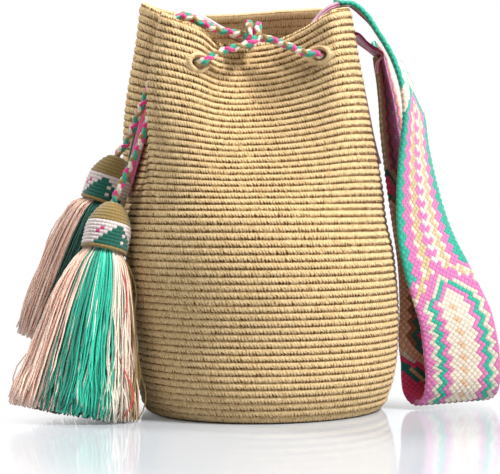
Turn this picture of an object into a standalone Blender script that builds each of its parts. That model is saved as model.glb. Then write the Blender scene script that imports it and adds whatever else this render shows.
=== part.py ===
"""Crocheted drawstring shoulder bag: a cylinder of single crochet rows with a gathered mouth, a round
braided drawstring with two tassels, and a knotted flat strap whose loose warps are sewn to the sides.

Units are metres and +Z is up. The origin is the centre of the round base, on the ground. The front of
the bag faces -Y, the tassels hang on its left side (-X) and the strap falls on its right side (+X).
"""
import math

import bpy
import numpy as np
from mathutils import Matrix, Vector

# Bag body
ROWS = 58                    # rows of crochet from the base edge to the rim
RIM_HEIGHT = 0.304           # height of the rim where nothing pulls it down
WALL = 0.004                 # thickness of the crocheted wall and base
RIDGE = 0.0012               # how far each row stands out from the groove under it
COLUMN_STEP = 0.0190         # spacing of the wall's columns round the mouth
GATHER_FROM = 0.49           # share of the height where the wall starts to draw in

# Outlines of the round part: share of the height, then radii in mm at twelve directions from the front
ROUND_LEVELS = (0.0, 0.012, 0.045, 0.20, 0.40, 0.53)
ROUND_RADII = (
    (85, 85, 87, 89, 87, 84, 82, 82, 82, 82, 84, 86),
    (88, 88, 91, 94, 91, 88, 86, 86, 86, 85, 86, 88),
    (91, 92, 96, 98, 95, 92, 91, 90, 90, 88, 90, 92),
    (93, 96, 102, 105, 102, 98, 96, 95, 94, 92, 95, 96),
    (95, 95, 99, 102, 102, 99, 98, 100, 102, 99, 100, 99),
    (89, 88, 91, 97, 98, 98, 99, 106, 118, 98, 94, 93),
)
# Outline of the gathered mouth, in mm: front hollow, right lobe, back, left lobe, side pleat, front fold
MOUTH = (
    (-5, -19, 270), (12, -26, 272), (32, -42, 279), (51, -57, 289), (63, -45, 293), (68, -20, 296),
    (66, 8, 299), (50, 32, 303), (20, 50, 304), (-15, 62, 303), (-50, 68, 303), (-77, 54, 305),
    (-89, 22, 306), (-79, -4, 299), (-57, -13, 288), (-53, -30, 283), (-69, -52, 288),
    (-62, -61, 285), (-42, -54, 278), (-31, -33, 271), (-20, -24, 269),
)
ROW_SPREAD = 0.026           # how much closer the lower rows lie than the upper ones
MM = 0.001
# Swells and dents of the wall: place and its spread, height share and its spread, push in mm
SWELLS = (
    (0.685, 0.042, 0.77, 0.17, 7.5),     # left lobe
    (0.835, 0.032, 0.84, 0.12, 4.6),     # front fold by the pleat
    (0.80, 0.035, 0.60, 0.06, -3.0),     # waist under that fold
    (0.25, 0.06, 0.49, 0.05, -2.5),      # waist on the right
)

# Eyelets for the drawstring: five rows below the rim, places as shares of the way round
EYELET_HEIGHT = 0.918
EYELETS = {"front_right": 0.107, "right": 0.325, "back_right": 0.415, "back": 0.51, "left": 0.60,
           "front_left": 0.902}
EYELET_LENGTH = 0.0145
EYELET_WIDTH = 0.0096

# Drawstring: a round braid
CORD = 0.0062
CLEAR = 0.0003               # gap between pieces that touch
LACE_SLACK = 0.0012          # between the lacing and the wall's face
HITCH_TURNS = 1.5            # turns of one tail round the other
HITCH_PITCH = 1.35 * CORD

# Tassels
CAP_RADIUS = 0.0162
CAP_LENGTH = 0.036
CAP_WALL = 0.0024
CAP_ROWS = 8
FLUTES = 12                  # bunches of thread round a skirt
BINDING = 0.0018             # thickness of the thread that binds a tassel's head

# Strap
STRAP_WIDTH = 0.070
STRAP_THICK = 0.0050
STRAP_STEP = 0.016           # spacing of the strap's cross-sections
KNOT_COLUMNS = 5             # columns of knots across the strap
KNOT_RELIEF = 0.0009


def material(name, colour, roughness):
    """A plain cotton finish."""
    made = bpy.data.materials.new(name)
    made.use_nodes = True
    shader = made.node_tree.nodes["Principled BSDF"]
    shader.inputs["Base Color"].default_value = (*colour, 1)
    shader.inputs["Roughness"].default_value = roughness
    shader.inputs["Metallic"].default_value = 0
    return made


def new_object(name, verts, faces, finish, group):
    """A smooth-shaded mesh object from points and faces."""
    mesh = bpy.data.meshes.new(name)
    mesh.from_pydata([tuple(v) for v in verts], [], faces)
    mesh.materials.append(finish)
    mesh.validate()
    mesh.shade_smooth()
    made = bpy.data.objects.new(name, mesh)
    group.objects.link(made)
    return made


def hermite(a, b, slope_a, slope_b, share):
    """Cubic blend from a to b whose slopes at the ends are given."""
    u = share
    return ((2 * u**3 - 3 * u**2 + 1) * a + (u**3 - 2 * u**2 + u) * slope_a
            + (-2 * u**3 + 3 * u**2) * b + (u**3 - u**2) * slope_b)


def closed_curve(points, places, at):
    """A smooth closed curve through points that lie at places (0 to 1), read at the given places."""
    where = np.concatenate([places - 1, places, places + 1])
    points = np.concatenate([points, points, points])
    k = np.searchsorted(where, at, side="right") - 1
    span = where[k + 1] - where[k]
    before = (points[k + 1] - points[k - 1]) * (span / (where[k + 1] - where[k - 1]))[:, None]
    after = (points[k + 2] - points[k]) * (span / (where[k + 2] - where[k]))[:, None]
    return hermite(points[k], points[k + 1], before, after, ((at - where[k]) / span)[:, None])


def mouth_places():
    """Each mouth point's share of the way round, by the length of the outline."""
    outline = np.array(MOUTH, float) * MM
    steps = np.linalg.norm(np.roll(outline, -1, 0)[:, :2] - outline[:, :2], axis=1)
    return outline, np.concatenate([[0], np.cumsum(steps)[:-1]]) / steps.sum(), steps


def smooth_wall(heights, places):
    """The bag's outer surface without its ridges: a point for each height share and each place.

    The round part runs through its outlines by height. Above GATHER_FROM each column runs in a nearly
    straight line from there to its point on the mouth. The swells are added in the level directions
    away from the middle, each fading like a bell curve."""
    outline, at, _ = mouth_places()
    mouth = closed_curve(outline, at, places)
    angle = 2 * math.pi * places - math.pi / 2
    rings = []
    for radii in ROUND_RADII:
        radius = closed_curve(np.array(radii, float)[:, None] * MM, np.arange(12) / 12, places)[:, 0]
        rings.append(np.stack([radius * np.cos(angle), radius * np.sin(angle)], -1))
    rings = np.stack(rings)
    levels = np.array(ROUND_LEVELS)
    slopes = np.gradient(rings, levels, axis=0)
    k = np.clip(np.searchsorted(levels, heights, side="right") - 1, 0, len(levels) - 2)
    span = (levels[k + 1] - levels[k])[:, None, None]
    share = np.clip((heights - levels[k]) / (levels[k + 1] - levels[k]), 0, 1)[:, None, None]
    low = hermite(rings[k], rings[k + 1], slopes[k] * span, slopes[k + 1] * span, share)
    soft = 0.06
    rise = np.clip((heights - GATHER_FROM) / (1 - GATHER_FROM), 0, None)
    pull = ((np.sqrt(rise**2 + soft**2) - soft) / (math.sqrt(1 + soft**2) - soft))[:, None]
    xy = low * (1 - pull[..., None]) + mouth[None, :, :2] * pull[..., None]
    for place, spread, height, tall, push in SWELLS:
        away = (places - place + 0.5) % 1.0 - 0.5
        bump = np.exp(-((heights - height) / tall)**2)[:, None] * np.exp(-(away / spread)**2)
        xy = xy + bump[..., None] * np.stack([np.cos(angle), np.sin(angle)], -1) * push * MM
    z = RIM_HEIGHT * (heights - ROW_SPREAD * np.sin(math.pi * heights))[:, None]
    z = z - (RIM_HEIGHT - mouth[None, :, 2]) * pull
    return np.concatenate([xy, z[..., None]], -1)


def sideways(surface):
    """Level outward directions of the wall at each point of the surface."""
    run = np.roll(surface, -1, 1) - np.roll(surface, 1, 1)
    out = np.stack([run[..., 1], -run[..., 0], np.zeros(run.shape[:2])], -1)
    return out / np.linalg.norm(out, axis=-1, keepdims=True)


def wall_columns():
    """Places of the wall's columns: each stretch of the mouth is cut into even steps."""
    _, at, steps = mouth_places()
    places = []
    for start, end, length in zip(at, [*at[1:], 1.0], steps):
        count = max(1, round(length / COLUMN_STEP))
        places += [start + (end - start) * i / count for i in range(count)]
    return np.array(places)


def off_wall(height, place, lift):
    """The point and outward direction at a place on the wall, lifted off its face."""
    near = np.array([height - 0.004, height, height + 0.004])
    around = np.array([place - 0.006, place, place + 0.006]) % 1.0
    p = smooth_wall(near, around)
    out = np.cross(p[1, 2] - p[1, 0], p[2, 1] - p[0, 1])
    out /= np.linalg.norm(out)
    return p[1, 1] + out * lift, out


def make_bag(finish, group, cutters):
    """The crocheted body: base, ridged wall, rolled rim and plain inner face as one closed skin."""
    places = wall_columns()
    count = len(places)
    half_rows = np.arange(2 * ROWS + 1) / (2 * ROWS)
    outer = smooth_wall(half_rows, places)
    out = sideways(outer)
    ridge = np.where(np.arange(2 * ROWS + 1) % 2 == 1, RIDGE, 0.0)
    outer = outer + out * ridge[:, None, None]
    inner_heights = np.linspace(1.0, 0.03, 12)
    inner = smooth_wall(inner_heights, places)
    inner = inner - sideways(inner) * WALL
    rim = (outer[-1] + inner[0]) / 2
    rim[:, 2] += WALL * 0.35
    floor = inner[-1].copy()
    floor[:, :2] *= 0.93
    floor[:, 2] = WALL
    base = outer[0].copy()
    base[:, 2] = 0
    rings = [base * (0.6, 0.6, 1), *outer, rim, *inner, floor, floor * (0.5, 0.5, 1)]
    verts = [(0, 0, 0)]
    for ring in rings:
        verts += [tuple(p) for p in ring]
    verts.append((0, 0, WALL))
    faces = []
    last = len(verts) - 1
    last_ring = last - count
    for j in range(count):
        k = (j + 1) % count
        faces.append((0, 1 + k, 1 + j))
        faces.append((last, last_ring + j, last_ring + k))
        for i in range(len(rings) - 1):
            a = 1 + i * count
            b = a + count
            faces.append((a + j, a + k, b + k, b + j))
    bag = new_object("bag_body", verts, faces, finish, group)
    for name, place in EYELETS.items():
        middle, direction = off_wall(EYELET_HEIGHT, place, -WALL / 2)
        bpy.ops.mesh.primitive_cylinder_add(vertices=10, radius=0.5, depth=0.018)
        hole = bpy.context.object
        hole.name = "cut_eyelet_" + name
        turn = Vector(direction).to_track_quat("Z", "Y").to_matrix().to_4x4()
        size = Matrix.Diagonal((EYELET_LENGTH, EYELET_WIDTH, 1, 1))
        hole.data.transform(Matrix.Translation(Vector(middle)) @ turn @ size)
        hole.hide_render = True
        hole.display_type = "WIRE"
        for owner in hole.users_collection:
            owner.objects.unlink(hole)
        cutters.objects.link(hole)
        cut = bag.modifiers.new("eyelet_" + name, "BOOLEAN")
        cut.operation = "DIFFERENCE"
        cut.object = hole
        cut.solver = "EXACT"
    return bag


def smooth_route(points, step):
    """Even points about step apart on a smooth open curve through the given ones."""
    points = np.array(points, float)
    lengths = np.linalg.norm(np.diff(points, axis=0), axis=1)
    at = np.concatenate([[0], np.cumsum(np.sqrt(lengths))])
    slope = np.gradient(points, at, axis=0)
    fine = np.linspace(0, at[-1], 60 * len(points))
    k = np.clip(np.searchsorted(at, fine, side="right") - 1, 0, len(at) - 2)
    span = (at[k + 1] - at[k])[:, None]
    share = ((fine - at[k]) / (at[k + 1] - at[k]))[:, None]
    curve = hermite(points[k], points[k + 1], slope[k] * span, slope[k + 1] * span, share)
    run = np.concatenate([[0], np.cumsum(np.linalg.norm(np.diff(curve, axis=0), axis=1))])
    wanted = np.linspace(0, run[-1], max(2, round(run[-1] / step) + 1))
    return np.stack([np.interp(wanted, run, curve[:, i]) for i in range(3)], -1)


def make_cord(name, route, step, finish, group):
    """A plain round cord along a route."""
    curve = bpy.data.curves.new(name, "CURVE")
    curve.dimensions = "3D"
    curve.bevel_depth = CORD / 2
    curve.bevel_resolution = 2
    curve.use_fill_caps = True
    points = smooth_route(route, step)
    spline = curve.splines.new("POLY")
    spline.points.add(len(points) - 1)
    spline.points.foreach_set("co", np.column_stack([points, np.ones(len(points))]).ravel())
    curve.materials.append(finish)
    made = bpy.data.objects.new(name, curve)
    group.objects.link(made)
    return made


def laced_route():
    """The drawstring's run through the eyelets, as points on the wall lifted off its face.

    It goes in at front_left, out at left, in at back, out at back_right, in at right and ends in the
    front_right eyelet. Outside it lies just off the ridges, inside just off the inner face, and it
    falls away from the inner face where the wall turns sharply."""
    outside = RIDGE + CORD / 2 + LACE_SLACK
    inside = -WALL - CORD / 2 - LACE_SLACK
    hop = 0.0095
    e = EYELETS
    stops = (
        (e["front_left"], -0.0032), (e["front_left"] - 0.001, -0.0078),
        (e["front_left"] - 0.016, inside - 0.0050), (0.775, inside - 0.0060), (0.73, inside - 0.0100),
        (0.69, inside - 0.0040), (0.65, inside - 0.0006),
        (e["left"] + hop, inside - 0.0005), (e["left"] - hop, outside + 0.0003), (0.555, outside),
        (e["back"] + hop, outside), (e["back"] - hop, inside), (0.46, inside),
        (e["back_right"] + hop, inside), (e["back_right"] - hop, outside), (0.37, outside),
        (e["right"] + hop, outside), (e["right"] - hop, inside), (0.27, inside - 0.0010),
        (0.23, inside), (0.19, inside - 0.0020), (0.155, inside - 0.0040),
        (e["front_right"] + 0.016, inside - 0.0040), (e["front_right"] + 0.001, -0.0076),
        (e["front_right"], -0.0032),
    )
    return [off_wall(EYELET_HEIGHT, place, lift)[0] for place, lift in stops]


# The two tails of the drawstring, in mm. The one from the left eyelet takes a turn and a half round the
# other in front of the mouth. Both cross the left lobe and hang down the side pleat.
KNOT = (-4, -36, 276.5)
FRONT_TAIL = (
    (34, -58, 261.5), (20, -46.5, 268.5), (8, -40, 273.5), KNOT, (-18, -36.5, 278.5),
    (-29, -37, 280.5), (-40, -37.5, 284.5), (-49, -37, 289), (-58, -32.5, 289.5), (-67.5, -30.5, 279),
    (-71, -31, 260), (-76.5, -34, 236), (-82, -37.5, 210), (-90, -41, 188), (-98, -43.5, 171),
)
REAR_TAIL = ((-34, -57, 259), (-26, -53.5, 263), (-16, -50.5, 266.5), (-5, -48, 270))
REAR_TAIL_AFTER = (
    (-29, -29.5, 281.5), (-40, -30, 286.5), (-48.5, -28.5, 290.5), (-57.5, -25, 292.5), (-67.5, -22.5, 282.5),
    (-74.5, -22.5, 263), (-80.5, -22, 241), (-87, -20.5, 224), (-93, -17, 210), (-98.5, -13.5, 198),
)
FRONT_CAP = ((-105, -45, 153), (-111.5, -52, 119.5))
REAR_CAP = ((-105, -16.6, 188), (-116, -18.2, 154.5))
FRONT_FOOT = (-131, -72, 3)
REAR_FOOT = (-161, 8, 48)


def hitch(centre, direction):
    """A turn and a half of cord round another that passes centre along direction, as points in mm.

    It starts in front of the other cord, goes up and over it and ends behind it."""
    along = Vector(direction).normalized()
    up = (Vector((0, 0, 1)) - along * along.z).normalized()
    behind = along.cross(up)
    reach = (CORD + CLEAR + LACE_SLACK) / MM
    points_a_turn = 8
    step = HITCH_PITCH / MM / points_a_turn
    turn = []
    for i in range(round(HITCH_TURNS * points_a_turn) + 1):
        angle = math.pi - 2 * math.pi * i / points_a_turn
        offset = behind * math.cos(angle) * reach + up * math.sin(angle) * reach * 1.08
        turn.append(tuple(Vector(centre) + offset + along * (i - 5) * step))
    return turn


def tail_start(eyelet):
    """The first points of a tail, in mm: inside its eyelet, then just outside."""
    place = EYELETS[eyelet]
    return [tuple(off_wall(EYELET_HEIGHT, place, lift)[0] / MM) for lift in (-0.0010, 0.0056)]


def tail_end(cap):
    """The last points of a tail, in mm: over the hole of its cap, then through it."""
    top, bottom = (Vector(p) for p in cap)
    axis = (top - bottom).normalized()
    return [tuple(bottom + axis * (reach / MM)) for reach in (CAP_LENGTH + 0.004, CAP_LENGTH - 0.009)]


def frame_along(top, bottom):
    """A matrix that puts +Z up a tassel's axis, with its origin at the bottom of the cap."""
    axis = (Vector(top) - Vector(bottom)).normalized()
    return Matrix.Translation(Vector(bottom) * MM) @ axis.to_track_quat("Z", "Y").to_matrix().to_4x4()


def turned(name, profile, segments, matrix, finish, group):
    """A shape turned about Z from a profile of (radius, height), outer side from top to bottom."""
    verts = [(r, 0, z) for r, z in profile]
    mesh = bpy.data.meshes.new(name)
    mesh.from_pydata(verts, [(i, i + 1) for i in range(len(verts) - 1)], [])
    mesh.materials.append(finish)
    made = bpy.data.objects.new(name, mesh)
    group.objects.link(made)
    screw = made.modifiers.new("turn", "SCREW")
    screw.axis = "Z"
    screw.steps = segments
    screw.render_steps = segments
    screw.use_merge_vertices = True
    screw.merge_threshold = 0.00001
    screw.use_smooth_shade = True
    made.matrix_world = matrix
    return made


def dome(share):
    """How wide the cap is, from 0 at its top to 1 where its dome ends and its straight side begins."""
    return math.sin(min(1.0, share / 0.62) * math.pi / 2) ** 0.72


def cap_profile():
    """Outer rows of the cap from the cord hole down to its lower edge, then back up the inside."""
    hole = CORD / 2 + 2 * CLEAR
    lip = 0.0008                 # from the hole to the first row
    ridge = 0.0007
    outer = []
    for i in range(2 * CAP_ROWS + 1):
        share = i / (2 * CAP_ROWS)
        radius = hole + lip + (CAP_RADIUS - hole - lip) * dome(share)
        radius += ridge if i % 2 == 1 else 0
        outer.append((radius, CAP_LENGTH * (1 - share)))
    inner = []
    for share in (1.0, 0.75, 0.5, 0.3, 0.14):
        radius = hole + (CAP_RADIUS - CAP_WALL - hole) * dome(share)
        inner.append((radius, CAP_LENGTH * (1 - share) - (0 if share == 1.0 else CAP_WALL / 2)))
    return outer + inner + [(hole, CAP_LENGTH - 0.0058), outer[0]]


def skirt_radius(share):
    """Radius of the bundle of threads, from its head (0) inside the cap to its cut ends (1)."""
    return 0.0128 + 0.0340 * share ** 0.70


def make_skirt(name, cap, foot, flat, wide, hang, finish, group):
    """The threads of a tassel: a head inside the cap and a fluted skirt that spreads to the foot.

    flat and wide scale its depth and width at the foot; hang is how long it keeps the cap's direction."""
    top, bottom = (Vector(p) * MM for p in cap)
    axis = (top - bottom).normalized()
    foot = Vector(foot) * MM
    stations = []
    head = CAP_RADIUS - CAP_WALL - 2 * CLEAR
    for depth, radius in ((0.0225, 0.0052), (0.0205, 0.0085), (0.0160, head - BINDING - 0.0012),
                          (0.0060, head - BINDING - 0.0008), (0.0030, head - 0.0006),
                          (-0.0025, head - 0.0002)):
        stations.append((bottom + axis * depth, radius, 0.0, 1.0))
    bottom = bottom - axis * 0.003
    for i in range(1, 8):
        share = i / 7
        point = hermite(bottom, foot, -axis * (foot - bottom).length * hang, (foot - bottom) * 0.95, share)
        stations.append((point, skirt_radius(share), 0.06 + 0.04 * share, share))
    side = Vector((0, 1, 0)).cross(axis).normalized()
    ahead = axis.cross(side).normalized()
    verts, faces = [], []
    count = 2 * FLUTES
    for centre, radius, flute, share in stations:
        for j in range(count):
            angle = 2 * math.pi * j / count
            r = radius * (1 + (flute if j % 2 == 0 else -flute))
            spread = 1 + (wide - 1) * share if flute else 1
            depth = 1 + (flat - 1) * share**0.5 if flute else 1
            p = centre + side * math.cos(angle) * r * spread + ahead * math.sin(angle) * r * depth
            verts.append((p.x, p.y, max(p.z, 0.0)))
    ends = [len(verts), len(verts) + 1]
    verts += [tuple(stations[0][0] + axis * 0.0006), tuple(stations[-1][0])]
    for j in range(count):
        k = (j + 1) % count
        faces.append((ends[0], j, k))
        low = (len(stations) - 1) * count
        faces.append((ends[1], low + k, low + j))
        for i in range(len(stations) - 1):
            a, b = i * count, (i + 1) * count
            faces.append((a + j, b + j, b + k, a + k))
    return new_object(name, verts, faces, finish, group)


def make_binding(name, cap, finish, group):
    """The wound thread that binds a tassel's head inside its cap."""
    head = CAP_RADIUS - CAP_WALL - 2 * CLEAR
    inner = head - BINDING - 0.0004
    low, high = 0.0072, 0.0142
    ring = [(inner, high), (head - 0.0002, high - 0.0008), (head - 0.0002, low + 0.0008), (inner, low),
            (inner, high)]
    return turned(name, ring, 16, frame_along(*cap), finish, group)


# The strap's route. Each stop is a point in mm on its middle line, then the turn of its width from +Y
# towards +X and the lift of its far edge in degrees, its width and its thickness in mm.
# Its left warps are sewn in the side pleat, cross the mouth and become the knotted band.
MOUTH_WARPS = (
    ((-62, -16.6, 289.4), 15, 12, 8, 4), ((-58.2, -13.5, 295.2), 10, 12, 9, 4.4),
    ((-52.5, -8, 297.5), 8, 6, 12, 4.4), ((-42, -2, 294), 5, 0, 16, 4.2), ((-26, 0, 287), 0, 0, 20, 4.0),
    ((-5, 3, 280.5), 0, 0, 22, 4.0), ((18, 8, 284), 0, 3, 24, 4.0), ((36, 9, 296), 0, 4, 26, 4.4),
    ((49, 10, 304.5), 0, 7, 36, 5.0),
)
# The band: over the right lobe, down, under itself at the ground and up again. Stops are on the middle
# of its front edge.
BAND = (
    ((60, -25, 301.5), 0, 9), ((69, -25, 301), 0, 9), ((79, -25, 294), 4, 6), ((87, -25, 282), 8, 4),
    ((98, -25, 264), 10, 2), ((105, -25, 244), 14, 0), ((108, -25, 222), 18, 0), ((106.5, -25, 200), 22, 0),
    ((104, -25, 175), 29, 0), ((103, -25, 150), 36, 0), ((104, -25, 127), 43, 0),
    ((108.5, -24, 104), 50, 0), ((115, -23, 84), 54, 0), ((120.5, -22, 65), 58, 0),
    ((123.5, -21.5, 44), 60, 0), ((125, -21, 31), 60, 0),
)
BAND_BACK = (
    ((109.5, 5, 33), 60, 0), ((107.8, 5, 48), 59, 0), ((108.6, 5.5, 66), 57, 0), ((108.4, 7, 88), 52, 0),
    ((107, 8, 110), 45, 0), ((103.5, 9, 135), 38, 0), ((100, 9, 160), 31, 0), ((97, 9, 184), 25, 0),
    ((94.5, 8.5, 208), 20, 0), ((93, 8, 232), 17, 0), ((90.5, 7.5, 254), 14, 0), ((86, 7, 274), 12, 0),
)
TURN_RADIUS = 15             # of the fold at the ground, in mm, to the middle of the band
RIGHT_WARPS = (
    ((78.2, 32, 281.5), 2, 0, 46, 4.6), ((76, 26, 287.5), 4, 0, 28, 4.2),
    ((73.4, 23.5, 289.8), 6, 0, 20, 4.0), ((71.3, 20, 285), 8, 0, 16, 4.0),
)
# Where the warps are sewn to the wall: place, height shares from the first stop to the last, thickness
LEFT_SEAM = (0.742, (0.56, 0.61, 0.67, 0.74, 0.81, 0.875, 0.935, 0.975), 0.0044)
RIGHT_SEAM = (0.285, (0.915, 0.86, 0.80, 0.74, 0.68, 0.63), 0.0040)
SEAM_WIDTH = 0.013
FRAYED_WIDTH = 0.020         # at the end of the warps
WARP_LIFT = RIDGE + 0.0026   # from the wall's face to the middle of the warps


def level(turn, lift):
    """The direction of the strap's width for its turn from +Y towards +X and its far edge's lift."""
    turn, lift = math.radians(turn), math.radians(lift)
    return np.array([math.sin(turn) * math.cos(lift), math.cos(turn) * math.cos(lift), math.sin(lift)])


def seam_stop(height, seam, lift):
    """A stop of the warps where they are sewn to the wall."""
    place, heights, thick = seam
    middle, out = off_wall(height, place, lift)
    across = np.cross((0, 0, 1), out)
    wide = FRAYED_WIDTH if height == min(heights) else SEAM_WIDTH
    return middle, across / np.linalg.norm(across), wide, thick


def warp_stop(point, turn, lift, wide, thick):
    """A stop of the loose warps between the seam and the band."""
    return np.array(point) * MM, level(turn, lift), wide * MM, thick * MM


def band_stop(edge, turn, lift):
    """A stop of the band, from the middle of its front edge."""
    across = level(turn, lift)
    return np.array(edge) * MM + across * STRAP_WIDTH / 2, across, STRAP_WIDTH, STRAP_THICK


def strap_stops():
    """Every stop of the strap in metres: middle point, direction of its width, width and thickness."""
    stops = [seam_stop(height, LEFT_SEAM, WARP_LIFT + (0.0040 if height > 0.9 else 0.0016))
             for height in LEFT_SEAM[1]]
    stops += [warp_stop(*stop) for stop in MOUTH_WARPS]
    stops += [band_stop(*stop) for stop in BAND]
    last, turn, _ = BAND[-1]
    back = np.array([-math.cos(math.radians(turn)), math.sin(math.radians(turn)), 0])
    bottom = (STRAP_THICK / 2 + CLEAR) / MM + KNOT_RELIEF / MM
    for degrees in range(0, 181, 30):
        a = math.radians(degrees)
        edge = np.array([last[0], last[1], bottom + TURN_RADIUS]) + back * TURN_RADIUS * (1 - math.cos(a))
        edge[2] -= TURN_RADIUS * math.sin(a)
        stops.append(band_stop(edge, turn, 0))
    stops += [band_stop(*stop) for stop in BAND_BACK]
    stops += [warp_stop(*stop) for stop in RIGHT_WARPS]
    stops += [seam_stop(height, RIGHT_SEAM, WARP_LIFT) for height in RIGHT_SEAM[1]]
    return stops


def make_strap(finish, group):
    """The strap as one piece: its section, ribbed by the columns of knots, is swept through the stops."""
    stops = strap_stops()
    middle = np.array([p for p, _, _, _ in stops])
    across = np.array([a for _, a, _, _ in stops])
    size = np.array([(w, t) for _, _, w, t in stops])
    steps = np.linalg.norm(np.diff(middle, axis=0), axis=1)
    run = np.concatenate([[0], np.cumsum(steps)])
    wanted = [run[0]]
    for start, end in zip(run[:-1], run[1:]):
        count = max(1, round((end - start) / STRAP_STEP))
        wanted += [start + (end - start) * (i + 1) / count for i in range(count)]
    wanted = np.array(wanted)
    k = np.clip(np.searchsorted(run, wanted, side="right") - 1, 0, len(run) - 2)
    share = ((wanted - run[k]) / (run[k + 1] - run[k]))[:, None]
    slope = np.gradient(middle, run, axis=0)
    span = (run[k + 1] - run[k])[:, None]
    line = hermite(middle[k], middle[k + 1], slope[k] * span, slope[k + 1] * span, share)
    across = across[k] * (1 - share) + across[k + 1] * share
    size = size[k] * (1 - share) + size[k + 1] * share
    along = np.gradient(line, axis=0)
    along /= np.linalg.norm(along, axis=1, keepdims=True)
    across -= along * (across * along).sum(1, keepdims=True)
    across /= np.linalg.norm(across, axis=1, keepdims=True)
    face = np.cross(across, along)
    verts, faces = [], []
    steps_across = 2 * KNOT_COLUMNS
    section = []
    for side in (1, -1):
        for i in range(steps_across + 1):
            place = (i / steps_across - 0.5) * side
            height = 0.22 if i in (0, steps_across) else 0.5
            relief = KNOT_RELIEF if i % 2 == 1 else 0
            section.append((place, side * height, side * (relief - KNOT_RELIEF)))
    count = len(section)
    for p, a, f, (wide, thick) in zip(line, across, face, size):
        for place, height, relief in section:
            verts.append(tuple(p + a * wide * place + f * (thick * height + relief)))
    for i in range(len(line) - 1):
        for j in range(count):
            a, b = i * count, (i + 1) * count
            k2 = (j + 1) % count
            faces.append((a + j, a + k2, b + k2, b + j))
    faces.append(tuple(range(count - 1, -1, -1)))
    faces.append(tuple(range((len(line) - 1) * count, len(line) * count)))
    return new_object("strap", verts, faces, finish, group)


# Scene set up
for old in list(bpy.data.objects):
    bpy.data.objects.remove(old, do_unlink=True)
parts = bpy.data.collections.new("crochet_bucket_bag")
cutters = bpy.data.collections.new("cutters")
bpy.context.scene.collection.children.link(parts)
bpy.context.scene.collection.children.link(cutters)

cotton = material("tan_cotton", (0.55, 0.36, 0.17), 0.85)
braid = material("braided_cord", (0.75, 0.20, 0.40), 0.8)
cap_cotton = material("olive_cap", (0.36, 0.25, 0.08), 0.85)
green_thread = material("green_thread", (0.04, 0.55, 0.40), 0.7)
peach_thread = material("peach_thread", (0.85, 0.50, 0.36), 0.7)
white_thread = material("white_thread", (0.8, 0.75, 0.7), 0.8)
strap_cotton = material("strap_cotton", (0.85, 0.25, 0.45), 0.8)

make_bag(cotton, parts, cutters)
make_cord("drawstring", laced_route(), 0.0115, braid, parts)

front_route = np.array([*tail_start("front_right"), *FRONT_TAIL, *tail_end(FRONT_CAP)]) * MM
rear_route = np.array([*tail_start("front_left"), *REAR_TAIL, *hitch(KNOT, (-26, 1.7, 5)),
                       *REAR_TAIL_AFTER, *tail_end(REAR_CAP)]) * MM
make_cord("tail_front", front_route, 0.009, braid, parts)
make_cord("tail_rear", rear_route, 0.0055, braid, parts)

turned("tassel_front_cap", cap_profile(), 14, frame_along(*FRONT_CAP), cap_cotton, parts)
turned("tassel_rear_cap", cap_profile(), 14, frame_along(*REAR_CAP), cap_cotton, parts)
make_skirt("tassel_front_skirt", FRONT_CAP, FRONT_FOOT, 0.50, 1.0, 1.05, green_thread, parts)
make_skirt("tassel_rear_skirt", REAR_CAP, REAR_FOOT, 0.42, 0.42, 0.3, peach_thread, parts)
make_binding("tassel_front_binding", FRONT_CAP, white_thread, parts)
make_binding("tassel_rear_binding", REAR_CAP, white_thread, parts)
make_strap(strap_cotton, parts)
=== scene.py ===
"""Looks of a crocheted drawstring shoulder bag: stitched wall, braided cord, tassels and knotted strap.

Units are metres in the frame's own axes: +Z up, the bag's front towards -Y, the strap on the +X side.
"""
import math

import bpy
import numpy as np
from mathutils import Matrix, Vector


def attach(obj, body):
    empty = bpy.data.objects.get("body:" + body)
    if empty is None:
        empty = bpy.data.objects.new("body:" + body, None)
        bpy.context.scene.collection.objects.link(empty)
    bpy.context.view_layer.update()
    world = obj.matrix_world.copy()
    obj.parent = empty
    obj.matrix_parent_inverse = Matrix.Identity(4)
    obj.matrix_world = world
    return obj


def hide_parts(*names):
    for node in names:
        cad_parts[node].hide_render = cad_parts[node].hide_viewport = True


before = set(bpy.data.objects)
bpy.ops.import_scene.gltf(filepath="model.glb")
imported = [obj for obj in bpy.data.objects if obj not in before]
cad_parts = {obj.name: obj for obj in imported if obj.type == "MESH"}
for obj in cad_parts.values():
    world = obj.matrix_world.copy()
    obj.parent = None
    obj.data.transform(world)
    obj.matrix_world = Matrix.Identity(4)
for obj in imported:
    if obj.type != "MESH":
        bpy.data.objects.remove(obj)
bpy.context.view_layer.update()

# Camera. It stands level with the middle of the bag, about a metre away, and looks slightly down.
IMAGE_WIDTH = 500
FOCAL = 1440                 # in pixels of the image's width
HORIZON = 30                 # pixels from the middle of the image up to the eye level


def new_object(name, data):
    """A new object of some data, linked to the scene."""
    made = bpy.data.objects.new(name, data)
    bpy.context.scene.collection.objects.link(made)
    return made


camera = new_object("camera", bpy.data.cameras.new("camera"))
camera.location = (-0.006, -1.090, 0.1514)
camera.rotation_euler = (math.pi / 2 - math.atan(HORIZON / FOCAL), 0, 0)
camera.data.lens = camera.data.sensor_width * FOCAL / IMAGE_WIDTH
bpy.context.scene.camera = camera
bpy.context.scene.view_settings.view_transform = "Standard"

# Bag body. It is crocheted in one go from the base up, row by row in a spiral, with mercerised cotton.
# The wall keeps its shape by itself; the drawstring gathers the mouth, with a hollow in front and a pleat.
MM = 0.001
ROWS = 58
STITCHES = 248
COLUMNS = np.arange(2 * STITCHES) / 2    # two columns of points to a stitch
RIM_HEIGHT = 0.304
WALL = 0.004
GATHER_FROM = 0.49           # share of the height where the wall starts to bend over
GATHER_SOFT = 0.06           # share of the height over which that bend is softened
ROW_SPREAD = 0.026           # how much lower the rows at half height are, as a share of the height
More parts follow.
